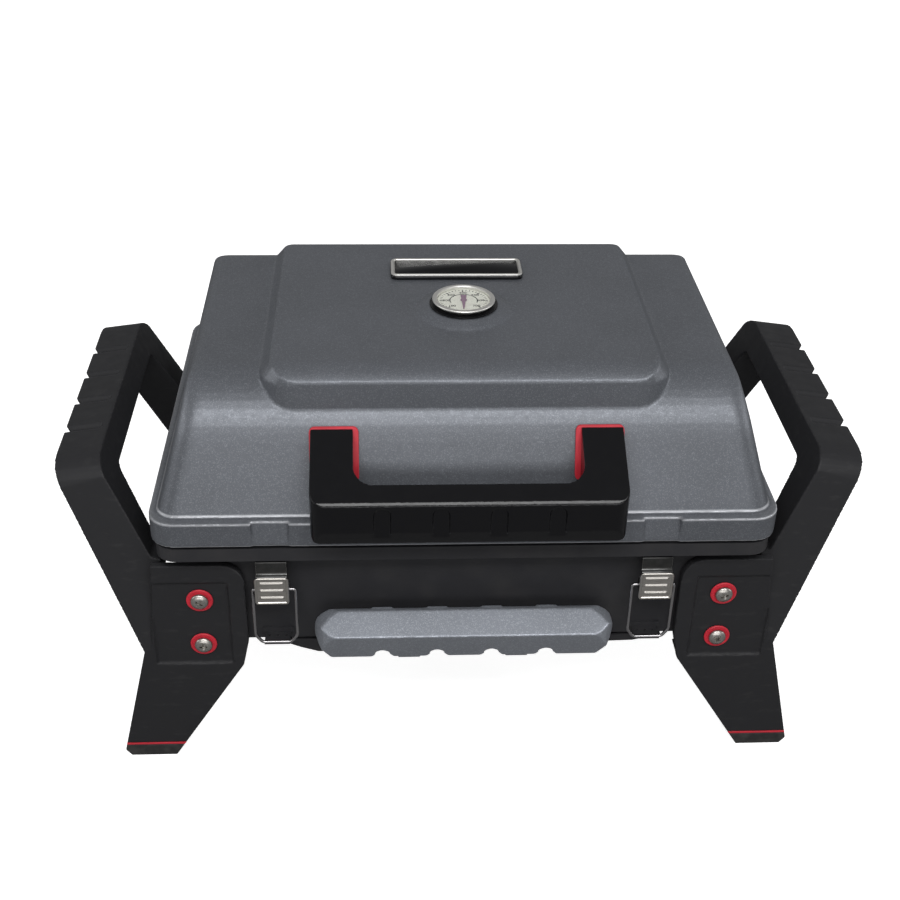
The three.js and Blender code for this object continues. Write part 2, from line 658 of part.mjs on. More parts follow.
function cookingGrate() {
  const halfX = 214;
  const halfY = 147.5;
  const border = 8;
  const pitch = 17;
  const slots = 24;
  const seat = SHELF_TOP + GAP;
  const halves = [
    [MIDDLE_Y - halfY + border, MIDDLE_Y - border / 2],
    [MIDDLE_Y + border / 2, MIDDLE_Y + halfY - border],
  ];
  let grate = solidOf(alongZ(roundedRect(halfX, halfY, 12, 0, MIDDLE_Y), seat, seat + 7, 3));
  for (let i = 0; i < slots; i += 1) {
    const x = (i - (slots - 1) / 2) * pitch;
    for (const half of halves) grate = cut(grate, block(x - 5.5, x + 5.5, ...half, seat - 1, seat + 8));
  }
  return grate;
}

// Corrugated sheet that spreads the burner's heat, with its waves across the grill.
function emitterPlate() {
  const waves = 9;
  const low = 168 + GAP;
  const rise = 6;
  const sheet = 1.5;
  const [y0, y1] = [-124, 133];
  const top = [];
  const bottom = [];
  for (let i = 0; i <= waves * 2; i += 1) {
    const y = y0 + ((y1 - y0) * i) / (waves * 2);
    const z = low + (i % 2 ? rise : 0);
    top.push([y, z + sheet]);
    bottom.unshift([y, z]);
  }
  return solidOf(alongX(outline([...top, ...bottom]), -200, 200));
}

function burnerTube() {
  const start = -158;
  const bellStart = 168;
  const bell = 180;
  const mouth = 200;
  const outside = [[0, start], [11, start], [11, bellStart], [15, bell], [15, mouth]];
  const inside = [[13.4, mouth], [13.4, bell + 1], [9.4, bellStart + 1], [9.4, start + 2], [0, start + 2]];
  return solidOf(turnedX([...outside, ...inside], MIDDLE_Y, BURNER_Z, 14));
}

// ---- ignition and gas ------------------------------------------------------

function igniterElectrode() {
  const profile = [[0, 166], [1, 166], [1, 178], [3.5, 180], [3.5, 214], [1.2, 214], [1.2, 222], [0, 222]];
  return solidOf(turnedX(profile, ELECTRODE_Y, ELECTRODE_Z, 12));
}

const HOUSING_X = 211;

function igniterHousing() {
  const end = HOUSING_X + 21;
  const profile = [
    [0, HOUSING_X], [14, HOUSING_X], [14, HOUSING_X + 3], [11, HOUSING_X + 3], [11, end], [6.5, end],
    [6.5, HOUSING_X + 8], [0, HOUSING_X + 8],
  ];
  return solidOf(turnedX(profile, IGNITER_Y, IGNITER_Z, 20));
}

function igniterButton() {
  const start = HOUSING_X + 13;
  const profile = [[0, start], [6, start], [6, start + 14], [4.5, start + 15.5], [0, start + 15.5]];
  return solidOf(turnedX(profile, IGNITER_Y, IGNITER_Z, 20));
}

function ignitionWire() {
  const points = [
    [HOUSING_X + 8, IGNITER_Y, IGNITER_Z - 11.6],
    [HOUSING_X + 8, IGNITER_Y, 128],
    [222, 10, 122],
    [224, ELECTRODE_Y - 6, 130],
    [224.8, ELECTRODE_Y, 156],
  ];
  return solidOf(wire(points, 1.2, 8, 22, 3));
}

function valveBody() {
  const body = block(214, VALVE_END_X, MIDDLE_Y - 13, MIDDLE_Y + 13, BURNER_Z - 13, BURNER_Z + 12);
  const nozzle = rodX(196, 215, MIDDLE_Y, BURNER_Z, 5.5, 16);
  const bonnet = rodZ(BURNER_Z + 11, BURNER_Z + 17, VALVE_X, MIDDLE_Y, 9, 16);
  const stemBore = rodZ(BURNER_Z + 4, BURNER_Z + 18, VALVE_X, MIDDLE_Y, 3.8, 12);
  return cut(join(body, nozzle, bonnet), stemBore);
}

function controlKnob() {
  const base = BURNER_Z + 18;
  const skirt = [[0, base - 12], [3, base - 12], [3, base], [15, base], [15, base + 3], [12.5, base + 5]];
  const cap = [[12, base + 18], [10.5, base + 20], [0, base + 20]];
  const round = turnedZ([...skirt, ...cap], VALVE_X, MIDDLE_Y, 20);
  const fin = block(VALVE_X - 2, VALVE_X + 2, MIDDLE_Y - 14.5, MIDDLE_Y + 11, base + 2, base + 21);
  return join(round, fin);
}

// A low can that ends in the collar for the gas cylinder.
function regulator() {
  const start = VALVE_END_X + GAP;
  const collar = start + 12;
  const mouth = start + 21;
  const neck = [[0, start], [9, start], [9, start + 4.5]];
  const can = [[22, start + 5], [25, start + 7], [25, start + 10], [20, collar], [17, collar]];
  const bore = [[17, mouth], [12.7, mouth], [12.7, collar + 1], [0, collar + 1]];
  return solidOf(turnedX([...neck, ...can, ...bore], MIDDLE_Y, BURNER_Z, 20));
}

// ---- grease tray -----------------------------------------------------------

const TRAY_FRONT = -136;
const TRAY_REAR = 66;
const TRAY_TOP = BOX_BOTTOM - 1.4;
const TRAY_DEEP = 98.3; // underside at the left, where the fat collects
const TRAY_SHALLOW = 105.5; // underside at the right
const TRAY_NOTCH_PITCH = 41.8;
const ARM_X = [33, 50.5]; // arms that join the tray to its handle, between the notches

// The pan's body, shrunk all round by inset; the inside is carried up through the top.
function trayPan(inset, top) {
  const front = outline([
    [TRAY_LEFT + inset * 2, top],
    [TRAY_LEFT + inset * 2, TRAY_TOP - 0.5],
    [TRAY_LEFT + 17, TRAY_DEEP + 5 + inset],
    [TRAY_LEFT + 31, TRAY_DEEP + inset],
    [TRAY_RIGHT - 22 - inset, TRAY_SHALLOW + inset],
    [TRAY_RIGHT - inset * 2, TRAY_TOP - 0.5],
    [TRAY_RIGHT - inset * 2, top],
  ]);
  const side = outline([
    [TRAY_FRONT + inset, top],
    [TRAY_FRONT + 1 + inset, TRAY_DEEP - 1],
    [TRAY_REAR - 8 - inset, TRAY_DEEP - 1],
    [TRAY_REAR - inset, top],
  ]);
  const [y0, y1] = [TRAY_FRONT - 1, TRAY_REAR + 1];
  return common(alongY(front, y0, y1), alongX(side, TRAY_LEFT - 1, TRAY_RIGHT + 1));
}

function greaseTray() {
  const flangeZ = [TRAY_TOP - 2.2, TRAY_TOP - 0.4];
  const flangeX = [TRAY_LEFT - TRAY_FLANGE, TRAY_RIGHT + TRAY_FLANGE];
  const flange = block(...flangeX, -114, TRAY_REAR - 14, ...flangeZ);
  return trayPan(0, TRAY_TOP).add(solidOf(flange)).subtract(trayPan(2, TRAY_TOP + 1));
}

// Handle from the side: an upper face and an undercut lower face meet in a ridge.
const HANDLE_BACK_Y = -151;
const HANDLE_RIDGE_Y = -176.5;
const HANDLE_BOTTOM_Z = 116.2;
const HANDLE_TOP_Z = 156.5;

function trayHandle() {
  const side = outline([
    [HANDLE_BACK_Y, 154],
    [-157, HANDLE_TOP_Z],
    [HANDLE_RIDGE_Y, 145.8],
    [-163.5, HANDLE_BOTTOM_Z],
    [HANDLE_BACK_Y - 1, HANDLE_BOTTOM_Z],
    [HANDLE_BACK_Y, 119],
  ]);
  const front = new THREE.Shape();
  front.moveTo(-102, HANDLE_BOTTOM_Z);
  front.lineTo(102, HANDLE_BOTTOM_Z);
  front.lineTo(113.5, 136);
  front.quadraticCurveTo(117, 150, 96, HANDLE_TOP_Z);
  front.lineTo(-96, HANDLE_TOP_Z);
  front.quadraticCurveTo(-117, 150, -113.5, 136);
  const plan = new THREE.Shape();
  plan.moveTo(-98, HANDLE_RIDGE_Y);
  plan.lineTo(98, HANDLE_RIDGE_Y);
  plan.quadraticCurveTo(112, -173, 116, HANDLE_BACK_Y + 1);
  plan.lineTo(-116, HANDLE_BACK_Y + 1);
  plan.quadraticCurveTo(-112, -173, -98, HANDLE_RIDGE_Y);
  const across = alongX(side, -116, 116);
  let handle = common(across, alongY(front, -180, -149, 5), alongZ(plan, 110, 165, 5));
  for (const end of [-1, 1]) {
    const [x0, x1] = ARM_X.map((x) => x * end).sort((a, b) => a - b);
    const arm = block(x0, x1, HANDLE_BACK_Y - 1.5, TRAY_FRONT - 2 * GAP, TRAY_SHALLOW, 119);
    handle = handle.add(solidOf(arm));
  }
  for (const step of FOUR_STEPS) {
    const x = step * TRAY_NOTCH_PITCH;
    const notch = new THREE.Shape();
    notch.moveTo(x - 11, 113);
    notch.lineTo(x - 5.5, 119);
    notch.absarc(x, 120.3, 5.5, Math.PI, 0, true);
    notch.lineTo(x + 11, 113);
    handle = cut(handle, alongY(notch, -180, -153, 4));
    handle = handle.add(solidOf(alongY(roundedRect(8, 3, 1.2, x, 152.5), -155, -151.2, 2)));
  }
  return handle;
}

// ---- side frames -----------------------------------------------------------

// The lower leg's inner and outer edges at a height, seen from the front.
const footInnerX = (z) => 171 + (95 - z) * 0.632;
const footOuterX = (z) => KINK_X + 0.4 + (KINK_Z - z) * 0.24;

// Outline of one leg and its bolted panel, seen from the front, for the right-hand frame.
function panelOutline(bottom) {
  const corner = 18;
  const shape = new THREE.Shape();
  shape.moveTo(235, 192);
  shape.lineTo(166 + corner, 192);
  shape.absarc(166 + corner, 192 - corner, corner, Math.PI / 2, Math.PI);
  shape.lineTo(166, 118);
  shape.lineTo(171, 95);
  shape.lineTo(footInnerX(bottom), bottom);
  shape.lineTo(footOuterX(bottom), bottom);
  shape.lineTo(KINK_X, KINK_Z);
  shape.lineTo(241, KINK_Z);
  return shape;
}

const ARM_LEAN = (GRIP_OUTER_X - KINK_X) / (GRIP_TOP - KINK_Z);
const GRIP_FALL = 4.4 / 32.5; // the grip's top drops towards its outer edge

// Arms, grip and the outer sides of the legs, seen from the front: they lean outwards.
// The outline runs past the grip's top, which the crown then trims.
const ARM_OUTLINE = [
  [KINK_X, KINK_Z],
  [GRIP_OUTER_X + 10 * ARM_LEAN, GRIP_TOP + 10],
  [275.6, GRIP_TOP + 14.4],
  [236.5, 189],
  [229.5, 187],
  [229.5, 95],
  [171, 95],
];

// The arms' front and rear faces lean towards the middle above the kink.
const armFaceY = (z) => FRAME_FACE - (z - KINK_Z - 2) * 0.2045;

// Front and rear legs with the grip over them, seen from the side.
function archOutline() {
  const above = GRIP_TOP + 15.6;
  const underside = GRIP_TOP - 16;
  const shape = new THREE.Shape();
  const at = (end, s, z) => [MIDDLE_Y + end * s, z];
  shape.moveTo(...at(-1, FRAME_FACE, 0));
  shape.lineTo(...at(-1, FRAME_FACE, KINK_Z + 2));
  shape.lineTo(...at(-1, armFaceY(above), above));
  shape.lineTo(...at(1, armFaceY(above), above));
  shape.lineTo(...at(1, FRAME_FACE, KINK_Z + 2));
  shape.lineTo(...at(1, FRAME_FACE, 0));
  shape.lineTo(...at(1, 121, 0));
  shape.lineTo(...at(1, 127, KINK_Z));
  shape.lineTo(...at(1, 122, 142));
  shape.lineTo(...at(1, 92, 234));
  shape.quadraticCurveTo(...at(1, 89.5, underside), ...at(1, 82, underside));
  shape.lineTo(...at(-1, 82, underside));
  shape.quadraticCurveTo(...at(-1, 89.5, underside), ...at(-1, 92, 234));
  shape.lineTo(...at(-1, 122, 142));
  shape.lineTo(...at(-1, 127, KINK_Z));
  shape.lineTo(...at(-1, 121, 0));
  return shape;
}

// Rounds the arms into the grip; heights are measured from the grip's sloping top.
function gripCrown() {
  const roll = 16.4;
  const deep = GRIP_TOP + 10;
  const face = armFaceY(GRIP_TOP - roll);
  const foot = armFaceY(GRIP_TOP - deep);
  const shape = new THREE.Shape();
  shape.moveTo(-foot, -deep);
  shape.lineTo(-face, -roll);
  shape.quadraticCurveTo(-119, 0, -97, 0);
  shape.lineTo(97, 0);
  shape.quadraticCurveTo(119, 0, face, -roll);
  shape.lineTo(foot, -deep);
  const crown = alongX(shape, 150 - GRIP_OUTER_X, 16, 6);
  crown.applyMatrix4(new THREE.Matrix4().makeShear(0, -GRIP_FALL, 0, 0, 0, 0));
  return crown.translate(GRIP_OUTER_X, MIDDLE_Y, GRIP_TOP);
}

const GROOVE_PITCH = 42.3;
const GROOVE_DEPTH = 3.4;

// V grooves over the grip's top and down its outer side, open at the outer edge.
function gripGrooves(y) {
  const wide = 5.6;
  const narrow = 0.9;
  const above = [[y - wide, 1], [y - narrow, -GROOVE_DEPTH], [y + narrow, -GROOVE_DEPTH], [y + wide, 1]];
  const top = alongX(outline(above), -(GRIP_OUTER_X - 276), 4);
  top.applyMatrix4(new THREE.Matrix4().makeRotationY(Math.atan(GRIP_FALL)));
  top.translate(GRIP_OUTER_X, 0, GRIP_TOP);
  const outward = above.map(([across, out]) => [GRIP_OUTER_X + out, across]);
  const side = alongZ(outline(outward), -22, 8);
  side.applyMatrix4(new THREE.Matrix4().makeShear(0, 0, 0, 0, ARM_LEAN, 0));
  side.translate(0, 0, GRIP_TOP);
  return [top, side];
}

function sideFrame(side) {
  const legTop = FOOT_INSERT_TOP + GAP;
  const legOutline = outline([
    ...ARM_OUTLINE,
    [footInnerX(legTop), legTop],
    [footOuterX(legTop), legTop],
  ]);
  const reach = FRAME_FACE + 10;
  const across = [MIDDLE_Y - reach, MIDDLE_Y + reach];
  let frame = common(alongY(legOutline, ...across), alongX(archOutline(), 150, 320, 6), gripCrown());
  const legHollow = outline([[181, 90], [226, 21], [262, 21], [244, 90]]);
  const deep = FRAME_FACE - PLATE;
  frame = cut(frame, alongY(legHollow, MIDDLE_Y - deep, MIDDLE_Y + deep));

  for (const end of [-1, 1]) {
    const slab = (from, to) => [MIDDLE_Y + end * from, MIDDLE_Y + end * to].sort((a, b) => a - b);
    frame = frame.add(solidOf(alongY(panelOutline(legTop), ...slab(deep, FRAME_FACE))));
    frame = cut(frame, block(179, 238, ...slab(FRAME_FACE - 2, FRAME_FACE + 1), 97, 176));
    for (const z of BOLT_Z) frame = cut(frame, rodY(...slab(deep - 1, FRAME_FACE + 1), BOLT_X, z, 3.5, 12));
  }
  for (const step of FOUR_STEPS) frame = cut(frame, ...gripGrooves(MIDDLE_Y + step * GROOVE_PITCH));
  return onSide(frame, side);
}

// Foot pieces follow the leg's outline; the pad's lower outer corner is cut off.
function footPiece(side, end, bottom, top, bevel) {
  const shape = outline([
    [footInnerX(bottom), bottom],
    [footOuterX(bottom) - bevel, bottom],
    [footOuterX(bottom + bevel), bottom + bevel],
    [footOuterX(top), top],
    [footInnerX(top), top],
  ]);
  const y = [MIDDLE_Y + end * 122, MIDDLE_Y + end * FRAME_FACE].sort((a, b) => a - b);
  return onSide(solidOf(alongY(shape, ...y)), side);
}

function turnedFastener(profile, side, end, z, sides) {
  const toY = turned(profile, sides);
  if (end < 0) toY.rotateX(Math.PI);
  return solidOf(toY.translate(side * BOLT_X, MIDDLE_Y, z));
}

const RECESS_FACE = FRAME_FACE - 2;
const WASHER_TOP = RECESS_FACE + GAP + 1.6;

function legWasher(side, end, z) {
  const [low, high] = [RECESS_FACE + GAP, WASHER_TOP];
  const ring = [[3.5, low], [10.2, low], [10.2, high], [3.5, high], [3.5, low]];
  return turnedFastener(ring, side, end, z, 14);
}

function legBolt(side, end, z) {
  const seat = WASHER_TOP + GAP;
  const tip = PAD_FACE - 7;
  const profile = [[0, tip], [3, tip], [3, seat], [6.9, seat], [6.4, seat + 1.8], [0, seat + 3.6]];
  return turnedFastener(profile, side, end, z, 12);
}

// ---- latches ---------------------------------------------------------------

function latchBracket(side) {
  const wallY = boxSection(BAIL_Z, 0).front - GAP;
  const [x0, x1] = [-9.8, 9.8];
  const shelfZ = [BAIL_Z - WIRE_R - GAP - 1.1, BAIL_Z - WIRE_R - GAP];
  const plate = block(x0 - 2, x1 + 2, wallY - 1.6, wallY, shelfZ[0], 124.5);
  const shelf = block(x0, x1, BAIL_Y, wallY - 1, ...shelfZ);
  const holes = [-6.5, 0, 6.5].map((x) => rodZ(shelfZ[0] - 1, shelfZ[1] + 1, x, wallY - 6, 1.3, 10));
  return solidOf(geometryOf(cut(join(plate, shelf), ...holes)).translate(side * LATCH_X, 0, 0));
}

// Wire bail: its foot turns in the bracket, its bent-in ends carry the lever.
function latchBail(side) {
  const half = (end) => [
    [end * 10 + side * LEVER_SHIFT, LEVER_Z],
    [end * BAIL_HALF_X, LEVER_Z],
    [end * BAIL_HALF_X, BAIL_Z + 7],
    [end * (BAIL_HALF_X - 5), BAIL_Z],
  ];
  const points = [...half(-1), ...half(1).reverse()];
  return solidOf(wire(points.map(([x, z]) => [side * LATCH_X + x, BAIL_Y, z]), WIRE_R, 2.2, 46));
}

// The lever's plate lies in front of the bail; its hook reaches up and back to the flange.
function latchLever(side) {
  const [x0, x1] = [-LEVER_HALF_X, LEVER_HALF_X];
  const front = BAIL_Y - 5;
  const sheet = 1.5;
  const hookX = x1 - 1.4;
  const plate = outline([
    [front, 162.3],
    [front + sheet, 162.3],
    [front + sheet, 187],
    [front, 187],
  ]);
  const hook = outline([
    [front + 0.5, 186],
    [front + sheet, 186],
    [front + 5.6, 187.8],
    [front + 5.6, 198.4],
    [front + 9, 199],
    [front + 9, 200.4],
    [front + 4, 200],
    [front + 4, 188.8],
  ]);
  const ear = (x) => block(x, x + sheet, front, BAIL_Y + 3, 168, 184);
  const lever = join(alongX(plate, x0, x1), alongX(hook, -hookX, hookX), ear(x0), ear(x1 - sheet));
  const pivot = rodX(x0 - 2, x1 + 2, BAIL_Y, LEVER_Z, 1.8, 12);
  const middle = side * (LATCH_X + LEVER_SHIFT);
  return solidOf(geometryOf(cut(lever, pivot)).translate(middle, 0, 0));
}

// ---- assembly --------------------------------------------------------------

place("lid", lid(), slateCasting);
place("lid_handle", lidHandle(), glossBlack);
place("badge_plate", badgePlate(), steel);
place("gauge_housing", gaugeHousing(), chrome);
place("gauge_ring", gaugeRing(), glossBlack);
place("gauge_dial", gaugeDial(), dialCream);
place("gauge_pointer", gaugePointer(), pointerRed);
place("gauge_lens", gaugeLens(), glass);

place("firebox", firebox(), blackCasting);
place("cooking_grate", cookingGrate(), enamel);
place("emitter_plate", emitterPlate(), steel);
place("burner_tube", burnerTube(), steel);
place("igniter_electrode", igniterElectrode(), ceramic);
place("ignition_wire", ignitionWire(), mouldedBlack);
place("igniter_housing", igniterHousing(), mouldedBlack);
place("igniter_button", igniterButton(), redRubber);
place("valve_body", valveBody(), brass);
place("control_knob", controlKnob(), mouldedBlack);
place("regulator", regulator(), steel);

place("grease_tray", greaseTray(), blackCasting);
place("tray_handle", trayHandle(), slateCasting);

for (const [label, side] of SIDES) {
  place(`handle_gasket_${label}`, handleGasket(side), redRubber);
  place(`handle_screw_${label}`, handleScrew(side), nickel);
  place(`hinge_pin_${label}`, hingePin(side), steel);
  place(`latch_bracket_${label}`, latchBracket(side), steel);
  place(`latch_bail_${label}`, latchBail(side), chrome);
  place(`latch_lever_${label}`, latchLever(side), chrome);
  place(`side_frame_${label}`, sideFrame(side), mouldedBlack);
  for (const [endLabel, end] of [["front", -1], ["rear", 1]]) {
    const corner = `${endLabel}_${label}`;
    place(`foot_pad_${corner}`, footPiece(side, end, 0, FOOT_PAD_TOP, 6), mouldedBlack);
    place(`foot_insert_${corner}`, footPiece(side, end, FOOT_PAD_TOP + GAP, FOOT_INSERT_TOP, 0.5), redRubber);
    for (const [level, z] of [["upper", BOLT_Z[0]], ["lower", BOLT_Z[1]]]) {
      place(`leg_washer_${corner}_${level}`, legWasher(side, end, z), redRubber);
      place(`leg_bolt_${corner}_${level}`, legBolt(side, end, z), nickel);
    }
  }
}

export default grill;
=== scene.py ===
"""Looks of the portable tabletop grill: fine meshes, materials, floor, light and camera."""
import json
import math

import bmesh
import bpy
from mathutils import Matrix, Vector


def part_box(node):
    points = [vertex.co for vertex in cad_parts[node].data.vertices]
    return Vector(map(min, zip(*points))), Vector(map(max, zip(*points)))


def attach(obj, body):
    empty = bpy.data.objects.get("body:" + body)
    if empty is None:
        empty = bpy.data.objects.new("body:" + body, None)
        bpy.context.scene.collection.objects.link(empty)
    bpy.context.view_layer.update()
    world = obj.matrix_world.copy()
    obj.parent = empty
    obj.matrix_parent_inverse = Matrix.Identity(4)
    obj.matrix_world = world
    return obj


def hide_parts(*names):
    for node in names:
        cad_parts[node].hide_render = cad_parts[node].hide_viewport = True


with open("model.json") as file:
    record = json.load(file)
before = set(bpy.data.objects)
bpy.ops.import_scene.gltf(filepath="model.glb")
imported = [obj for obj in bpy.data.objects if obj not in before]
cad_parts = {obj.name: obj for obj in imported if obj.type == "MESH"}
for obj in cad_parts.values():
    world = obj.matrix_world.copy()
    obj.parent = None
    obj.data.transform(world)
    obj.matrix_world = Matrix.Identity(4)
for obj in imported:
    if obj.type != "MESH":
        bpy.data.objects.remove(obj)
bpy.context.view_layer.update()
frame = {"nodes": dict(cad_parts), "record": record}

NODES = frame["nodes"]
BODY_OF = {node: body for body, nodes in frame["record"]["behaviour"]["bodies"].items() for node in nodes}
SLOT_OF = {part["node"]: part["material_slot"] for part in frame["record"]["subparts"]}
SIDES = ("left", "right")
ENDS = ("front", "rear")
MM = 0.001
RIM_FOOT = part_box("lid")[0].z / MM + 7  # the hinge knuckles hang this far below the rim
RIM_LEDGE = RIM_FOOT + 20.5  # the flat step that runs round the lid above its rim


# ---- node materials --------------------------------------------------------


class Surface:
    """A Principled material with short calls for the procedural layers that are laid over it."""

    def __init__(self, name, color, roughness, metallic=0.0):
        self.material = bpy.data.materials.new(name)
        self.material.use_nodes = True
        self.tree = self.material.node_tree
        self.shader = self.tree.nodes["Principled BSDF"]
        self.set("Base Color", (*color, 1))
        self.set("Roughness", roughness)
        self.set("Metallic", metallic)
        self.coords = self.add("ShaderNodeTexCoord").outputs["Object"]
        self.normal = None

    def add(self, kind, inputs=None, **settings):
        node = self.tree.nodes.new(kind)
        for key, value in settings.items():
            setattr(node, key, value)
        for key, value in (inputs or {}).items():
            self.feed(node.inputs[key], value)
        return node

    def feed(self, socket, value):
        if isinstance(value, bpy.types.NodeSocket):
            self.tree.links.new(value, socket)
        else:
            socket.default_value = value

    def set(self, name, value):
        self.feed(self.shader.inputs[name], value)

    def stretched(self, stretch):
        return self.add("ShaderNodeMapping", {"Vector": self.coords, "Scale": stretch}).outputs[0]

    def noise(self, size_mm, detail=3, stretch=None):
        """Soft noise whose features are about size_mm across."""
        vector = self.stretched(stretch) if stretch else self.coords
        inputs = {"Vector": vector, "Scale": 1 / (size_mm * MM), "Detail": detail}
        return self.add("ShaderNodeTexNoise", inputs).outputs[0]

    def cells(self, size_mm, output="Color"):
        """Cells about size_mm across: a random colour each, or the distance to the middle."""
        inputs = {"Vector": self.coords, "Scale": 1 / (size_mm * MM)}
        return self.add("ShaderNodeTexVoronoi", inputs).outputs[output]

    def spread(self, value, low, high, to_low=0.0, to_high=1.0):
        """Maps low..high of a value to to_low..to_high, held at both ends."""
        inputs = {"Value": value, "From Min": low, "From Max": high, "To Min": to_low, "To Max": to_high}
        return self.add("ShaderNodeMapRange", inputs).outputs[0]

    def math(self, operation, a, b):
        node = self.add("ShaderNodeMath", operation=operation)
        self.feed(node.inputs[0], a)
        self.feed(node.inputs[1], b)
        return node.outputs[0]

    def mix(self, factor, a, b):
        """Colour a where the factor is 0 and b where it is 1."""
        node = self.add("ShaderNodeMix", data_type="RGBA")
        self.feed(node.inputs[0], factor)
        self.feed(node.inputs[6], a if isinstance(a, bpy.types.NodeSocket) else (*a, 1))
        self.feed(node.inputs[7], b if isinstance(b, bpy.types.NodeSocket) else (*b, 1))
        return node.outputs[2]

    def bump(self, height, depth_mm, strength=1.0):
        inputs = {"Height": height, "Distance": depth_mm * MM, "Strength": strength}
        if self.normal is not None:
            inputs["Normal"] = self.normal
        self.normal = self.add("ShaderNodeBump", inputs).outputs[0]
        self.set("Normal", self.normal)

    def edges(self, radius_mm, sharpness=0.25):
        """About 1 along edges that turn within radius_mm, and 0 on open faces."""
        rounded = self.add("ShaderNodeBevel", {"Radius": radius_mm * MM}, samples=4).outputs[0]
        true = self.add("ShaderNodeNewGeometry").outputs["Normal"]
        facing = self.add("ShaderNodeVectorMath", operation="DOT_PRODUCT")
        self.feed(facing.inputs[0], rounded)
        self.feed(facing.inputs[1], true)
        return self.spread(facing.outputs["Value"], 1.0, 1.0 - sharpness)

    def line_at(self, z_mm, half_mm):
        """1 at a height in the row frame, falling to 0 within half_mm above and below."""
        z = self.add("ShaderNodeSeparateXYZ", {"Vector": self.coords}).outputs["Z"]
        away = self.math("ABSOLUTE", self.math("SUBTRACT", z, z_mm * MM), 0.0)
        return self.spread(away, half_mm * MM, half_mm * MM * 0.5)


def slate_paint(name, level):
    """Metallic slate paint over fine texture, at a brightness level: the material and its colour socket."""
    s = Surface(name, (0.15, 0.16, 0.18), 0.42, 0.5)
    random = s.add("ShaderNodeSeparateColor", {"Color": s.cells(0.52)}).outputs[0]
    flakes = s.math("MULTIPLY", s.spread(random, 0.72, 1.0), 0.34)
    cloud = s.spread(s.noise(60, 4), 0.3, 0.7)
    tints = ((0.136, 0.145, 0.162), (0.153, 0.163, 0.183), (0.4, 0.42, 0.46))
    dark, light, flake = [tuple(level * part for part in tint) for tint in tints]
    color = s.mix(flakes, s.mix(cloud, dark, light), flake)
    s.set("Base Color", color)
    s.set("Roughness", s.spread(s.noise(3, 3), 0.3, 0.7, 0.38, 0.48))
    s.bump(s.noise(0.7, 2), 0.05, 0.35)
    s.bump(s.cells(0.6, "Distance"), 0.03, 0.25)
    return s, color


def slate_casting():
    """The lid's paint, with painted highlights: pale lines laid into its colour along the edges of its rim.
    """
    s, color = slate_paint("slate_casting", 0.9)
    # Painted highlights: thin pale lines at the rim's foot, just under the ledge and at the dome's foot,
    # standing in for light caught on those rounded edges.
    edges = s.math("MAXIMUM", s.line_at(RIM_FOOT + 0.5, 0.9), s.line_at(RIM_LEDGE - 0.9, 1.0))
    edges = s.math("MAXIMUM", edges, s.line_at(RIM_LEDGE + 1.3, 1.0))
    s.set("Base Color", s.mix(s.math("MULTIPLY", edges, 0.38), color, (0.75, 0.76, 0.79)))
    return s.material


def tray_slate():
    return slate_paint("tray_slate", 1.95)[0].material


def black_casting():
    s = Surface("black_casting", (0.02, 0.02, 0.022), 0.45)
    s.set("Specular IOR Level", 0.25)
    dust = s.spread(s.noise(35, 5), 0.45, 0.8, 0.0, 0.5)
    s.set("Base Color", s.mix(dust, (0.028, 0.028, 0.031), (0.050, 0.048, 0.048)))
    s.set("Roughness", s.spread(s.noise(8, 4), 0.3, 0.7, 0.38, 0.52))
    s.bump(s.noise(0.7, 3), 0.05, 0.5)
    return s.material


def moulded_black():
    s = Surface("moulded_black", (0.018, 0.018, 0.019), 0.5)
    s.set("Specular IOR Level", 0.2)
    scuffs = s.spread(s.noise(14, 6, (1, 1, 3)), 0.58, 0.82, 0.0, 0.35)
    s.set("Base Color", s.mix(scuffs, (0.022, 0.022, 0.024), (0.055, 0.054, 0.054)))
    s.set("Roughness", s.spread(s.noise(11, 4), 0.3, 0.7, 0.44, 0.58))
    s.bump(s.cells(0.9, "Distance"), 0.05, 0.35)
    s.bump(s.noise(2.2, 3), 0.05, 0.3)
    return s.material


def gloss_black():
    s = Surface("gloss_black", (0.003, 0.003, 0.004), 0.24)
    s.set("Specular IOR Level", 0.32)
    s.set("Roughness", s.spread(s.noise(9, 4), 0.3, 0.7, 0.15, 0.24))
    s.bump(s.noise(3.5, 2), 0.04, 0.4)
    return s.material


def foot_rubber():
    s = Surface("foot_rubber", (0.02, 0.02, 0.02), 0.75)
    dust = s.spread(s.noise(9, 5), 0.4, 0.8)
    s.set("Base Color", s.mix(dust, (0.016, 0.016, 0.016), (0.05, 0.048, 0.045)))
    s.bump(s.noise(0.6, 3), 0.06, 0.5)
    return s.material


def red_rubber():
    s = Surface("red_rubber", (0.6, 0.025, 0.045), 0.42)
    shade = s.spread(s.noise(12, 4), 0.3, 0.75)
    s.set("Base Color", s.mix(shade, (0.62, 0.022, 0.042), (0.48, 0.018, 0.034)))
    s.bump(s.noise(0.5, 2), 0.03, 0.4)
    return s.material


def nickel():
    s = Surface("nickel", (0.62, 0.58, 0.52), 0.3, 1.0)
    grain = s.noise(0.5, 4, (0.08, 1, 1))
    s.set("Base Color", s.mix(s.spread(grain, 0.3, 0.7), (0.47, 0.45, 0.42), (0.58, 0.555, 0.52)))
    s.set("Roughness", s.spread(grain, 0.3, 0.7, 0.26, 0.4))
    s.bump(grain, 0.01, 0.4)
    return s.material


def chrome():
    s = Surface("chrome", (0.42, 0.41, 0.42), 0.2, 1.0)
    s.set("Roughness", s.spread(s.noise(6, 4), 0.4, 0.75, 0.14, 0.28))
    s.bump(s.noise(1.5, 2), 0.004, 0.4)
    return s.material


def satin_rim():
    s = Surface("satin_rim", (0.82, 0.81, 0.78), 0.42, 1.0)
    s.set("Roughness", s.spread(s.noise(4, 4), 0.35, 0.75, 0.36, 0.5))
    s.bump(s.noise(1.1, 2), 0.006, 0.4)
    return s.material


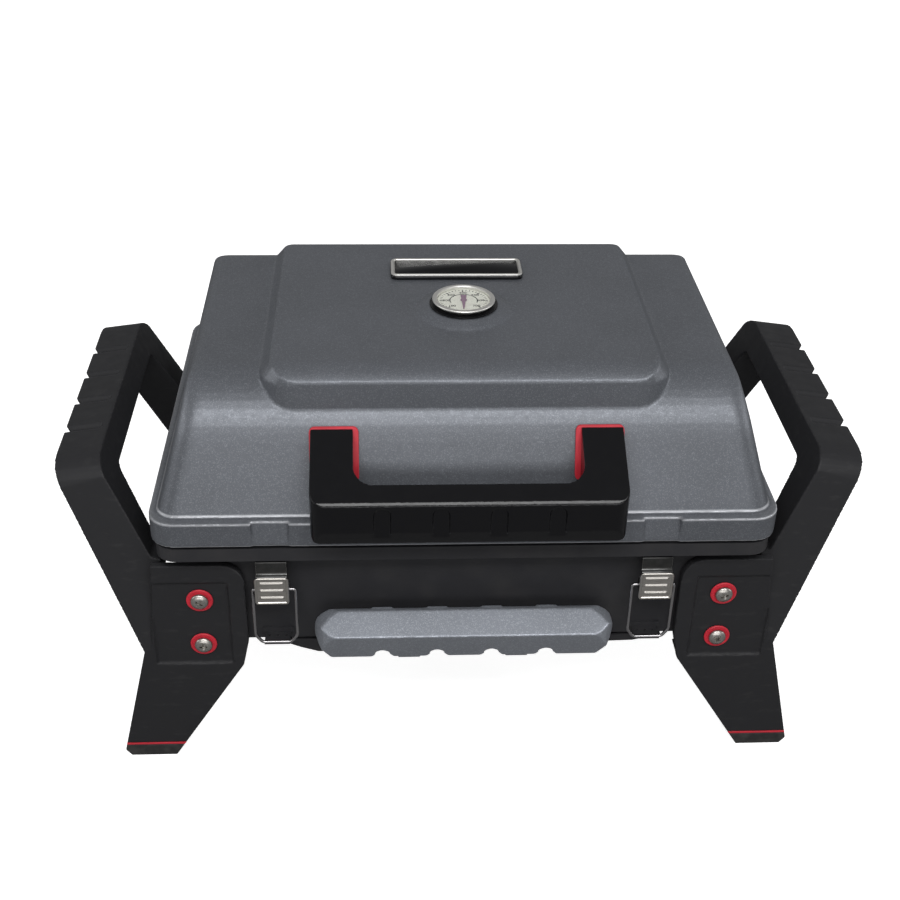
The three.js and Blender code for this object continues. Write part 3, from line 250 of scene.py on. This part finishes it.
def dark_chrome():
    """Plated sheet that has dulled on its faces and stays bright along its edges."""
    s = Surface("dark_chrome", (0.1, 0.1, 0.1), 0.3, 1.0)
    rub = s.spread(s.noise(5, 4), 0.3, 0.7, 0.0, 0.4)
    face = s.mix(rub, (0.07, 0.07, 0.07), (0.13, 0.13, 0.125))
    s.set("Base Color", s.mix(s.edges(0.5), face, (0.8, 0.79, 0.75)))
    s.bump(s.noise(0.8, 2), 0.006, 0.4)
    return s.material


def brushed_steel():
    s = Surface("brushed_steel", (0.5, 0.49, 0.47), 0.32, 1.0)
    grain = s.noise(0.35, 5, (0.04, 1, 1))
    s.set("Base Color", s.mix(s.spread(grain, 0.3, 0.7), (0.44, 0.43, 0.41), (0.58, 0.57, 0.55)))
    s.set("Roughness", s.spread(grain, 0.3, 0.7, 0.28, 0.42))
    s.bump(grain, 0.015, 0.5)
    return s.material


def regulator_metal():
    s = Surface("regulator_metal", (0.42, 0.42, 0.43), 0.45, 0.9)
    s.set("Base Color", s.mix(s.spread(s.noise(7, 5), 0.3, 0.7), (0.38, 0.38, 0.39), (0.48, 0.48, 0.49)))
    s.bump(s.noise(0.8, 4), 0.06, 0.6)
    return s.material


def grate_enamel():
    s = Surface("grate_enamel", (0.02, 0.02, 0.021), 0.3)
    s.set("Coat Weight", 0.3)
    s.set("Roughness", s.spread(s.noise(10, 5), 0.3, 0.8, 0.25, 0.5))
    s.bump(s.noise(1.6, 4), 0.12, 0.6)
    return s.material


def brass():
    s = Surface("brass", (0.62, 0.47, 0.22), 0.3, 1.0)
    s.set("Base Color", s.mix(s.spread(s.noise(6, 5), 0.35, 0.75), (0.64, 0.49, 0.24), (0.42, 0.30, 0.13)))
    s.bump(s.noise(0.4, 3, (1, 1, 0.1)), 0.01, 0.5)
    return s.material


def ceramic():
    s = Surface("ceramic", (0.8, 0.78, 0.72), 0.25)
    s.set("Base Color", s.mix(s.spread(s.noise(5, 4), 0.4, 0.8), (0.8, 0.78, 0.72), (0.62, 0.58, 0.5)))
    s.bump(s.noise(1.2, 2), 0.02, 0.4)
    return s.material


def dial_face():
    s = Surface("dial_face", (0.72, 0.68, 0.58), 0.5)
    s.set("Base Color", s.mix(s.spread(s.noise(4, 4), 0.3, 0.7), (0.88, 0.86, 0.77), (0.80, 0.77, 0.69)))
    s.bump(s.noise(0.3, 2), 0.004, 0.4)
    return s.material


def dial_ink():
    s = Surface("dial_ink", (0.03, 0.03, 0.032), 0.5)
    s.bump(s.noise(0.2, 2), 0.003, 0.4)
    return s.material


def pointer_paint():
    s = Surface("pointer_paint", (0.30, 0.18, 0.26), 0.35)
    s.bump(s.noise(0.5, 2), 0.005, 0.4)
    return s.material


def gauge_glass():
    """Clear flat glass that lets light through to the dial."""
    s = Surface("gauge_glass", (0.9, 0.93, 0.94), 0.03)
    clear = s.add("ShaderNodeBsdfTransparent", {"Color": (0.98, 0.99, 0.99, 1)}).outputs[0]
    smear = s.spread(s.noise(5, 3), 0.3, 0.7, 0.02, 0.06)
    gloss = s.add("ShaderNodeBsdfGlossy", {"Roughness": smear}).outputs[0]
    fresnel = s.add("ShaderNodeFresnel", {"IOR": 1.45}).outputs[0]
    outside = s.math("SUBTRACT", 1.0, s.add("ShaderNodeNewGeometry").outputs["Backfacing"])
    glint = s.math("MULTIPLY", fresnel, outside)
    both = s.add("ShaderNodeMixShader", {0: glint, 1: clear, 2: gloss}).outputs[0]
    s.tree.links.new(both, s.tree.nodes["Material Output"].inputs["Surface"])
    return s.material


MATERIALS = {
    make.__name__: make()
    for make in (
        slate_casting, tray_slate, black_casting, moulded_black, gloss_black, foot_rubber, red_rubber,
        nickel, chrome, satin_rim, dark_chrome, brushed_steel, regulator_metal, grate_enamel, brass,
        ceramic, dial_face, dial_ink, pointer_paint, gauge_glass,
    )
}


def paint(obj, material):
    obj.data.materials.clear()
    obj.data.materials.append(material)


# ---- pieces made from the frame --------------------------------------------

WELD = 1e-6
FLAT_ANGLE = math.radians(0.5)


def apply_modifiers(obj):
    """Turns an object's modifiers into its mesh."""
    bpy.context.view_layer.update()
    graph = bpy.context.evaluated_depsgraph_get()
    mesh = bpy.data.meshes.new_from_object(obj.evaluated_get(graph))
    old = obj.data
    obj.modifiers.clear()
    obj.data = mesh
    bpy.data.meshes.remove(old)


def show(obj, node, material=None):
    """Paints a piece and puts it on the body of the CAD node that it stands for."""
    paint(obj, MATERIALS[material or SLOT_OF[node]])
    obj.data.polygons.foreach_set("use_smooth", [True] * len(obj.data.polygons))
    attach(obj, BODY_OF[node])
    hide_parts(node)
    return obj


def object_from(bm, name):
    mesh = bpy.data.meshes.new(name)
    bm.to_mesh(mesh)
    bm.free()
    obj = bpy.data.objects.new(name, mesh)
    bpy.context.scene.collection.objects.link(obj)
    return obj


def free_copy(node, name):
    """A free copy of a CAD node's mesh, welded, with each flat face made of one polygon where it can be."""
    bm = bmesh.new()
    bm.from_mesh(NODES[node].data)
    bmesh.ops.remove_doubles(bm, verts=bm.verts, dist=WELD)
    bmesh.ops.dissolve_limit(bm, angle_limit=FLAT_ANGLE, verts=bm.verts, edges=bm.edges)
    return object_from(bm, name)


def softened(node, voxel_mm, passes, keep, material=None):
    """A casting or moulding with eased edges: the CAD solid remeshed, smoothed, then thinned."""
    obj = free_copy(node, node + "_fine")
    remesh = obj.modifiers.new("remesh", "REMESH")
    remesh.mode = "VOXEL"
    remesh.voxel_size = voxel_mm * MM
    smooth = obj.modifiers.new("smooth", "SMOOTH")
    smooth.factor = 0.5
    smooth.iterations = passes
    thin = obj.modifiers.new("thin", "DECIMATE")
    thin.ratio = keep
    obj.modifiers.new("normals", "WEIGHTED_NORMAL")
    apply_modifiers(obj)
    return show(obj, node, material)


def bevelled(node, width_mm, steps=3, material=None):
    """A part with its hard edges broken by a bevel."""
    obj = free_copy(node, node + "_fine")
    bevel = obj.modifiers.new("bevel", "BEVEL")
    bevel.width = width_mm * MM
    bevel.segments = steps
    bevel.limit_method = "ANGLE"
    bevel.angle_limit = math.radians(28)
    obj.modifiers.new("normals", "WEIGHTED_NORMAL")
    obj.data.polygons.foreach_set("use_smooth", [True] * len(obj.data.polygons))
    apply_modifiers(obj)
    return show(obj, node, material)


# ---- pieces made from scratch, in millimetres ------------------------------


def scaled(bm):
    """Millimetres to metres, once a piece's mesh is finished."""
    bmesh.ops.remove_doubles(bm, verts=bm.verts, dist=WELD / MM)
    bmesh.ops.recalc_face_normals(bm, faces=bm.faces)
    bmesh.ops.scale(bm, vec=(MM, MM, MM), verts=bm.verts)
    return bm


def box_mm(node):
    low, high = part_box(node)
    return low / MM, high / MM


def middle_mm(node):
    low, high = box_mm(node)
    return (low + high) / 2


def eased(points, radius, steps=4, closed=True):
    """An outline whose corners are rounded off, as far as their sides allow."""
    out = []
    count = len(points)
    for i, point in enumerate(points):
        here = Vector(point)
        if not closed and i in (0, count - 1):
            out.append(here)
            continue
        before = Vector(points[i - 1]) - here
        after = Vector(points[(i + 1) % count]) - here
        reach = min(radius, before.length * 0.45, after.length * 0.45)
        start = here + before.normalized() * reach
        end = here + after.normalized() * reach
        for k in range(steps + 1):
            t = k / steps
            out.append(start * (1 - t) ** 2 + here * 2 * t * (1 - t) + end * t ** 2)
    return out


def turned(profile, sides=64):
    """A solid of revolution about Z through (radius, height) points, closed or from axis to axis."""
    bm = bmesh.new()
    rings = []
    for radius, height in profile:
        if radius < 1e-6:
            rings.append([bm.verts.new((0, 0, height))] * sides)
            continue
        angles = [2 * math.pi * i / sides for i in range(sides)]
        rings.append([bm.verts.new((radius * math.cos(a), radius * math.sin(a), height)) for a in angles])
    for low, high in zip(rings, rings[1:] + rings[:1]):
        for i in range(sides):
            j = (i + 1) % sides
            corners = list(dict.fromkeys((low[i], low[j], high[j], high[i])))
            if len(corners) > 2:
                bm.faces.new(corners)
    return bm


def prism(outline, z0, z1):
    """A closed outline in (x, y) carried from z0 to z1."""
    bm = bmesh.new()
    low = [bm.verts.new((p[0], p[1], z0)) for p in outline]
    high = [bm.verts.new((p[0], p[1], z1)) for p in outline]
    bm.faces.new(low[::-1])
    bm.faces.new(high)
    for i in range(len(outline)):
        j = (i + 1) % len(outline)
        bm.faces.new((low[i], low[j], high[j], high[i]))
    return bm


def joined(*meshes):
    """Several meshes as one, each left as its own shell."""
    whole = bmesh.new()
    for bm in meshes:
        part = bpy.data.meshes.new("part")
        bm.to_mesh(part)
        bm.free()
        whole.from_mesh(part)
        bpy.data.meshes.remove(part)
    return whole


def moved(bm, matrix):
    bmesh.ops.transform(bm, matrix=matrix, verts=bm.verts)
    return bm


def wire(path, radius, sides):
    """Round wire along a path of points."""
    bm = bmesh.new()
    rings = []
    for i, point in enumerate(path):
        ahead = path[min(i + 1, len(path) - 1)] - path[max(i - 1, 0)]
        ahead.normalize()
        across = ahead.cross(Vector((0, 1, 0))).normalized()
        depth = across.cross(ahead)
        ring = []
        for k in range(sides):
            a = 2 * math.pi * k / sides
            spot = point + across * radius * math.cos(a) + depth * radius * math.sin(a)
            ring.append(bm.verts.new(spot))
        rings.append(ring)
    for low, high in zip(rings, rings[1:]):
        for k in range(sides):
            j = (k + 1) % sides
            bm.faces.new((low[k], low[j], high[j], high[k]))
    bm.faces.new(rings[0][::-1])
    bm.faces.new(rings[-1])
    return bm


def rounded_rect(half_x, half_y, radius, steps=6):
    corners = [(half_x, -half_y), (half_x, half_y), (-half_x, half_y), (-half_x, -half_y)]
    return eased(corners, radius, steps)


def arc(middle, radius, start_deg, end_deg, steps=6):
    """Points along an arc in a profile."""
    out = []
    for i in range(steps + 1):
        a = math.radians(start_deg + (end_deg - start_deg) * i / steps)
        out.append((middle[0] + radius * math.cos(a), middle[1] + radius * math.sin(a)))
    return out


def carve(obj, *cutters):
    """Cuts other solids out of a piece."""
    for cutter in cutters:
        boolean = obj.modifiers.new("cut", "BOOLEAN")
        boolean.operation = "DIFFERENCE"
        boolean.solver = "EXACT"
        boolean.object = cutter
    apply_modifiers(obj)
    for cutter in cutters:
        bpy.data.objects.remove(cutter)
    return obj


def keep_creases(obj, angle_deg=35):
    """Smooth shading that stays sharp across real edges."""
    obj.data.set_sharp_from_angle(angle=math.radians(angle_deg))


# ---- lid furniture ---------------------------------------------------------


def stepped(outline_at, steps):
    """A closed solid through outlines at rising steps of (inset, height)."""
    bm = bmesh.new()
    rings = []
    for inset, z in steps:
        rings.append([bm.verts.new((p.x, p.y, z)) for p in outline_at(inset)])
    for low, high in zip(rings, rings[1:]):
        for i in range(len(low)):
            j = (i + 1) % len(low)
            bm.faces.new((low[i], low[j], high[j], high[i]))
    bm.faces.new(rings[0][::-1])
    bm.faces.new(rings[-1])
    return bm


def badge():
    """A plain plate on a black backing: a bright rim round a dark inlaid face, with no lettering."""
    low, high = box_mm("badge_plate")
    middle = (low + high) / 2
    half = (high - low) / 2
    thick = high.z - low.z
    place = Matrix.Translation((middle.x, middle.y, low.z))

    def edge(inset):
        return rounded_rect(half.x - inset, half.y - inset, 6 - inset)

    backing = stepped(edge, [(0.0, 0.0), (0.0, thick - 1.2), (0.5, thick - 1.2)])
    show(object_from(scaled(moved(backing, place)), "badge_backing"), "badge_plate", "gloss_black")
    steps = [(0.3, thick - 1.1), (0.3, thick - 0.5), (0.8, thick), (2.6, thick), (3.0, thick - 0.7)]
    rim = object_from(scaled(moved(stepped(edge, steps), place)), "badge_rim")
    keep_creases(show(rim, "badge_plate", "satin_rim"))
    face = prism(rounded_rect(half.x - 3.4, half.y - 3.4, 2.8), thick - 0.6, thick - 0.3)
    show(object_from(scaled(moved(face, place)), "badge_face"), "badge_plate", "gloss_black")


def gauge_bezel():
    """A plain round stem below, standing in for the threaded one; above the seat its wall flares out to a
    broad satin rim.
    """
    low, high = box_mm("gauge_housing")
    middle = middle_mm("gauge_housing")
    outer = (high.x - low.x) / 2
    seat = box_mm("gauge_ring")[1].z + 0.3
    dial_low, dial_high = box_mm("gauge_dial")
    inner = (dial_high.x - dial_low.x) / 2 + 0.3
    floor = dial_low.z - 0.3
    top = high.z
    ease_r = 1.0
    profile = [(0, low.z), (2.6, low.z), (4, low.z + 8), (4, seat), (outer - 3, seat)]
    profile += arc((outer - ease_r, top - ease_r), ease_r, -45, 90, 8)
    profile += [(inner + 0.7, top), (inner, top - 0.7), (inner, floor), (0, floor)]
    bm = moved(turned(profile, 96), Matrix.Translation((middle.x, middle.y, 0)))
    keep_creases(show(object_from(scaled(bm), "gauge_bezel"), "gauge_housing", "satin_rim"), 30)


DIAL_START = 225  # degrees from +X of the lowest mark
DIAL_SWEEP = -270
INK = 0.06


def around(angle_deg, radius, height=0.0):
    angle = math.radians(angle_deg)
    return Vector((radius * math.cos(angle), radius * math.sin(angle), height))


def dial_ticks(radius):
    """Thirty steps round the dial, every fifth one long."""
    steps = 30
    ticks = []
    for i in range(steps + 1):
        length, half_width = (3.4, 0.42) if i % 5 == 0 else (1.9, 0.24)
        outline = [(-length, -half_width), (0, -half_width), (0, half_width), (-length, half_width)]
        turn = Matrix.Rotation(math.radians(DIAL_START + DIAL_SWEEP * i / steps), 4, "Z")
        ticks.append(moved(prism(outline, 0, INK), turn @ Matrix.Translation((radius - 1.6, 0, 0))))
    return ticks


def dial_band(radius):
    """A thin printed arc inside the numbers."""
    outer = [around(angle, radius - 9.2) for angle in range(200, -21, -5)]
    inner = [point * 0.93 for point in outer]
    return [
        prism([inner[i], outer[i], outer[i + 1], inner[i + 1]], 0, INK)
        for i in range(len(outer) - 1)
    ]


def number_mesh(body):
    """A number in Blender's own font, as a thin solid."""
    text = bpy.data.curves.new("number", "FONT")
    text.body = body
    text.size = 4.0
    text.offset = 0.05
    text.align_x = "CENTER"
    text.align_y = "CENTER"
    text.extrude = INK / 2
    number = bpy.data.objects.new("number", text)
    bpy.context.scene.collection.objects.link(number)
    bpy.context.view_layer.update()
    graph = bpy.context.evaluated_depsgraph_get()
    mesh = bpy.data.meshes.new_from_object(number.evaluated_get(graph))
    bpy.data.objects.remove(number)
    bm = bmesh.new()
    bm.from_mesh(mesh)
    return bm


def gauge_marks():
    """The dial's printing: an arc of ticks, plain numbers and a cooking band."""
    low, high = box_mm("gauge_dial")
    middle = (low + high) / 2
    radius = (high.x - low.x) / 2
    parts = dial_ticks(radius) + dial_band(radius)
    for i in range(7):
        spot = around(DIAL_START + DIAL_SWEEP * i / 6, radius - 7, INK / 2)
        parts.append(moved(number_mesh(str((i + 1) * 100)), Matrix.Translation(spot)))
    bm = moved(joined(*parts), Matrix.Translation((middle.x, middle.y, high.z + 0.01)))
    show(object_from(scaled(bm), "gauge_marks"), "gauge_dial", "dial_ink")


def turned_piece(node, name, profile_of):
    """A round piece on a node's axis, from a profile that is given its radius, foot and top."""
    low, high = box_mm(node)
    middle = middle_mm("gauge_dial")
    bm = turned(profile_of((high.x - low.x) / 2, low.z, high.z), 96)
    bm = moved(bm, Matrix.Translation((middle.x, middle.y, 0)))
    keep_creases(show(object_from(scaled(bm), name), node))


def dial_profile(radius, foot, top):
    return [(0, foot), (radius, foot), (radius, top - 0.1), (radius - 0.1, top), (0, top)]


def seat_ring_profile(radius, foot, top):
    bore = 4.6
    edge = [(radius - 0.3, foot), (radius, foot + 0.3), (radius, top - 0.3), (radius - 0.3, top)]
    return [(bore, foot), *edge, (bore, top)]


def lens_profile(radius, foot, top):
    return [(0, foot), (radius, foot), (radius, top - 0.35), (radius * 0.8, top - 0.12), (0, top)]


def gauge():
    gauge_bezel()
    turned_piece("gauge_dial", "gauge_face", dial_profile)
    gauge_marks()
    turned_piece("gauge_ring", "gauge_seat_ring", seat_ring_profile)
    turned_piece("gauge_lens", "gauge_window", lens_profile)
    bevelled("gauge_pointer", 0.12, 2)


# ---- fasteners -------------------------------------------------------------


def recess_arm():
    """One tapered arm of a cross recess, wider at the top."""
    arm = bmesh.new()
    verts = []
    for z, half_x in ((4.5, 3.9), (0.6, 1.6)):
        for x, y in ((-half_x, -0.75), (half_x, -0.75), (half_x, 0.75), (-half_x, 0.75)):
            verts.append(arm.verts.new((x, y, z)))
    for face in ((0, 1, 2, 3), (7, 6, 5, 4), (0, 4, 5, 1), (1, 5, 6, 2), (2, 6, 7, 3), (3, 7, 4, 0)):
        arm.faces.new([verts[k] for k in face])
    return arm


def bolt_mesh():
    """A pan-head screw on +Z from its seat at 0, with a cross recess, as a template."""
    radius, height, shank, length = 6.9, 3.5, 3.0, 13.5
    crown = [(radius - 0.4, 0), (radius, 0), (radius - 0.3, 1.7)]
    crown += [(radius * 0.6, height * 0.92), (0, height)]
    profile = [(0, -length), (shank - 0.6, -length), (shank, -length + 0.8), (shank, 0)]
    profile += [(p[0], p[1]) for p in eased(crown, 1.2, 4, False)]
    head = object_from(scaled(turned(profile, 64)), "bolt_template")
    arms = []
    for turn in (0, 90):
        spin = Matrix.Rotation(math.radians(turn), 4, "Z")
        arms.append(object_from(scaled(moved(recess_arm(), spin)), "cutter"))
    return carve(head, *arms)


def washer_mesh():
    """A thick cupped rubber washer on +Z from its seat at 0."""
    inner, outer, thick = 3.6, 10.2, 1.6
    profile = [(inner, 0), (outer - 0.4, 0)] + arc((outer - 0.8, 0.8), 0.8, -60, 90, 6)
    profile += [(8.6, thick), (8.1, thick - 0.35), (inner, thick - 0.35)]
    return turned(profile, 72)


def fasten(kind, tag, template, seat_y, turn):
    """Puts a copy of a template on its CAD node's axis, with its seat at seat_y."""
    node = f"{kind}_{tag}"
    low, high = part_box(node)
    middle = (low + high) / 2
    obj = bpy.data.objects.new(node + "_fine", template.data.copy())
    bpy.context.scene.collection.objects.link(obj)
    obj.data.transform(Matrix.Translation((middle.x, seat_y, middle.z)) @ turn)
    keep_creases(show(obj, node), 30)


def leg_fasteners():
    """A screw on a washer at each hole, with every cross recess at its own angle."""
    bolt = bolt_mesh()
    washer = object_from(scaled(washer_mesh()), "washer_template")
    gap = 0.3 * MM
    spin_deg = 20
    for side in SIDES:
        for end, facing in zip(ENDS, (-1, 1)):
            outward = Matrix.Rotation(math.radians(-90 * facing), 4, "X")
            for level in ("upper", "lower"):
                tag = f"{end}_{side}_{level}"
                spin_deg += 37
                turn = outward @ Matrix.Rotation(math.radians(spin_deg), 4, "Z")
                low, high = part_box(f"leg_washer_{tag}")
                seat, top = (high.y, low.y) if facing < 0 else (low.y, high.y)
                fasten("leg_bolt", tag, bolt, top + gap * facing, turn)
                fasten("leg_washer", tag, washer, seat, turn)
    for template in (bolt, washer):
        bpy.data.objects.remove(template)


# ---- latches ---------------------------------------------------------------


def ease(x):
    """0 to 1, level at both ends."""
    x = max(0.0, min(1.0, x))
    return x * x * (3 - 2 * x)


def walk_round(sheet):
    """The border vertices of a grid, in order."""
    rows, columns = len(sheet), len(sheet[0])
    border = [sheet[0][c] for c in range(columns)]
    border += [sheet[r][-1] for r in range(1, rows)]
    border += [sheet[-1][c] for c in range(columns - 2, -1, -1)]
    border += [sheet[r][0] for r in range(rows - 2, 0, -1)]
    return border


def lever_plate(side):
    """Pressed finger plate: raised rounded border and three cross ribs, hollow behind."""
    low, high = box_mm(f"latch_lever_{side}")
    middle_x = (low.x + high.x) / 2
    half, corner = (high.x - low.x) / 2, 3.0
    bottom, top = low.z, low.z + 24.7
    border, dish, rib, skin = 1.5, 0.75, 0.85, 0.8
    rib_foot, rib_pitch = 6.1, 6.7
    rows, columns = 108, 96

    def relief(x, z, edge):
        level = 1 - ease((edge - border) / 0.9)
        across = 1 - ease((abs(x) - (half - 4.6)) / 0.9)
        for k in range(3):
            above = z - (bottom + rib_foot + k * rib_pitch)
            lip = ease((above + 0.6) / 0.5) * (1 - ease(above / 1.9))
            level = max(level, lip * across * rib / dish)
        return dish * level

    bm = bmesh.new()
    face, back = [], []
    for r in range(rows + 1):
        z = bottom + (top - bottom) * r / rows
        rise = min(z - bottom, top - z)
        cut = corner - math.sqrt(max(corner ** 2 - (corner - rise) ** 2, 0)) if rise < corner else 0
        row_half = half - cut
        face.append([])
        back.append([])
        for c in range(columns + 1):
            x = row_half * (2 * c / columns - 1)
            edge = min(row_half - abs(x) + cut * 0.4, rise)
            rolled = 0.5 * (1 - ease(edge / 0.7))
            face[-1].append(bm.verts.new((middle_x + x, low.y + dish - relief(x, z, edge) + rolled, z)))
            back[-1].append(bm.verts.new((middle_x + x, low.y + dish + skin + 0.05, z)))
    for sheet, order in ((face, 1), (back, -1)):
        for r in range(rows):
            for c in range(columns):
                quad = (sheet[r][c], sheet[r][c + 1], sheet[r + 1][c + 1], sheet[r + 1][c])
                bm.faces.new(quad[::order])
    front_rim, back_rim = walk_round(face), walk_round(back)
    for i in range(len(front_rim)):
        j = (i + 1) % len(front_rim)
        bm.faces.new((front_rim[i], back_rim[i], back_rim[j], front_rim[j]))
    show(object_from(scaled(bm), f"latch_lever_{side}_plate"), f"latch_lever_{side}")


def lever_hook(side):
    """Folded hook and the two ears that the bail's ends turn in."""
    node = f"latch_lever_{side}"
    low, high = box_mm(node)
    middle_x = (low.x + high.x) / 2
    half = (high.x - low.x) / 2 - 1.4
    front = low.y + 1.6
    sheet = 0.9
    path = [(0.2, 18), (0.2, 24.2), (3.2, 25.8), (3.6, 36)]
    path = [(front + y, low.z + z) for y, z in path] + [(high.y, high.z - 0.6)]
    outer = eased(path, 1.2, 4, False)
    inner = []
    for i, p in enumerate(outer):
        ahead = (outer[min(i + 1, len(outer) - 1)] - outer[max(i - 1, 0)]).normalized()
        inner.append(p + Vector((ahead.y, -ahead.x)) * sheet)
    upright = Matrix(((0, 0, 1, middle_x), (1, 0, 0, 0), (0, 1, 0, 0), (0, 0, 0, 1)))
    parts = [moved(prism(outer + inner[::-1], -half, half), upright)]
    axle_y, axle_z = middle_mm(f"latch_bail_{side}").y, low.z + 11.2
    ear = [
        (low.y + 1.7, axle_z - 6),
        (axle_y + 3, axle_z - 3.5),
        (axle_y + 3, axle_z + 3.5),
        (low.y + 1.7, axle_z + 9),
    ]
    bail_low, bail_high = box_mm(f"latch_bail_{side}")
    hole = arc((axle_y, axle_z), (bail_high.y - bail_low.y) / 2 + 0.25, 0, 345, 23)
    cutters = []
    for x in (-half - 1.4, half + 0.3):
        parts.append(moved(prism(eased(ear, 2.4, 5), x, x + 1.1), upright))
        cutters.append(object_from(scaled(moved(prism(hole, x - 1, x + 2.1), upright)), "cutter"))
    obj = carve(object_from(scaled(joined(*parts)), f"latch_lever_{side}_hook"), *cutters)
    bevel = obj.modifiers.new("bevel", "BEVEL")
    bevel.width = 0.15 * MM
    bevel.segments = 2
    bevel.limit_method = "ANGLE"
    apply_modifiers(obj)
    keep_creases(show(obj, node, "dark_chrome"), 40)


def bail(side):
    """Spring wire: two bent-in ends, long legs, cut corners and a cross bar."""
    node = f"latch_bail_{side}"
    low, high = box_mm(node)
    middle = (low + high) / 2
    radius = (high.y - low.y) / 2
    half = (high.x - low.x) / 2 - radius
    top = high.z - radius
    bottom = low.z + radius
    right = [(half - 5, bottom), (half, bottom + 7), (half, top), (10.6, top)]
    left = [(-x, z) for x, z in reversed(right)]
    path = eased([Vector((middle.x + x, middle.y, z)) for x, z in left + right], 2.2, 6, False)
    obj = object_from(scaled(wire(path, radius, 20)), f"latch_bail_{side}_wire")
    keep_creases(show(obj, node), 50)


# ---- build -----------------------------------------------------------------

# Voxel size in millimetres, smoothing passes and the share of faces kept.
CAST = {
    "lid": (1.1, 5, 0.3),
    "lid_handle": (0.7, 4, 0.4),
    "tray_handle": (0.8, 5, 0.3),
    "side_frame_left": (0.9, 3, 0.3),
    "side_frame_right": (0.9, 3, 0.3),
    "regulator": (0.6, 4, 0.4),
    "control_knob": (0.5, 4, 0.4),
}
for node, settings in CAST.items():
    softened(node, *settings, "tray_slate" if node == "tray_handle" else None)
badge()
gauge()
leg_fasteners()
for side in SIDES:
    lever_plate(side)
    lever_hook(side)
    bail(side)
# Width in millimetres of the bevel on each part's hard edges.
BROKEN_EDGE = {
    "firebox": 1.0,
    "grease_tray": 0.8,
    "cooking_grate": 0.8,
    "handle_gasket": 0.5,
    "foot_pad": 0.8,
    "foot_insert": 0.3,
    "latch_bracket": 0.25,
    "hinge_pin": 0.4,
    "valve_body": 0.8,
    "igniter_housing": 0.5,
    "igniter_button": 0.5,
}
for node in sorted(NODES):
    for part, width in BROKEN_EDGE.items():
        if node == part or node.startswith(part + "_"):
            bevelled(node, width)
for node, obj in NODES.items():
    paint(obj, MATERIALS[SLOT_OF[node]])


# ---- floor, light and camera -----------------------------------------------


def floor():
    bm = bmesh.new()
    bmesh.ops.create_grid(bm, x_segments=1, y_segments=1, size=15)
    obj = object_from(bm, "floor")
    s = Surface("floor_paper", (0.86, 0.86, 0.86), 0.9)
    seen = s.add("ShaderNodeLightPath").outputs["Is Camera Ray"]
    pale = s.mix(s.noise(400, 2), (0.86, 0.86, 0.86), (0.88, 0.88, 0.88))
    s.set("Base Color", s.mix(seen, (0.22, 0.22, 0.22), pale))
    s.set("Emission Color", (1, 1, 1, 1))
    s.set("Emission Strength", s.math("MULTIPLY", seen, 0.8))
    paint(obj, s.material)


def area_light(name, place, aim, size_x, size_y, watts):
    data = bpy.data.lights.new(name, "AREA")
    data.shape = "RECTANGLE"
    data.size = size_x
    data.size_y = size_y
    data.energy = watts
    light = bpy.data.objects.new(name, data)
    light.location = place
    light.rotation_euler = (Vector(aim) - Vector(place)).to_track_quat("-Z", "Y").to_euler()
    bpy.context.scene.collection.objects.link(light)


def surroundings(level):
    """Even light from all round that the camera sees as plain white."""
    world = bpy.data.worlds.new("studio")
    world.use_nodes = True
    tree = world.node_tree
    seen = tree.nodes.new("ShaderNodeLightPath").outputs["Is Camera Ray"]
    strength = tree.nodes.new("ShaderNodeMapRange")
    strength.inputs["To Min"].default_value = level
    tree.links.new(seen, strength.inputs["Value"])
    tree.nodes["Background"].inputs["Color"].default_value = (1, 1, 1, 1)
    tree.links.new(strength.outputs[0], tree.nodes["Background"].inputs["Strength"])
    bpy.context.scene.world = world


def camera(place, yaw_deg, pitch_deg, roll_deg, lens_mm):
    """A camera looking along +Y, turned towards +X by yaw, down by pitch, then rolled."""
    data = bpy.data.cameras.new("camera")
    data.lens = lens_mm
    obj = bpy.data.objects.new("camera", data)
    turn = Matrix.Rotation(-math.radians(yaw_deg), 4, "Z")
    tip = Matrix.Rotation(math.radians(90 - pitch_deg), 4, "X")
    roll = Matrix.Rotation(math.radians(roll_deg), 4, "Z")
    obj.matrix_world = Matrix.Translation(place) @ turn @ tip @ roll
    bpy.context.scene.collection.objects.link(obj)
    bpy.context.scene.camera = obj


floor()
surroundings(0.3)
middle = (0, 0, 0.25)
area_light("key", (0, -1.3, 1.75), middle, 1.9, 0.5, 25)
area_light("front", (0, -2.4, 0.75), middle, 2.4, 0.7, 11.5)
area_light("left_side", (-2.0, -0.2, 0.9), middle, 1.2, 0.8, 7)
area_light("right_side", (2.0, -0.2, 0.9), middle, 1.2, 0.8, 7)
camera((-0.0616, -0.965, 0.811), 3.37, 32.29, 1.31, 54.55)
bpy.context.scene.view_settings.view_transform = "Standard"
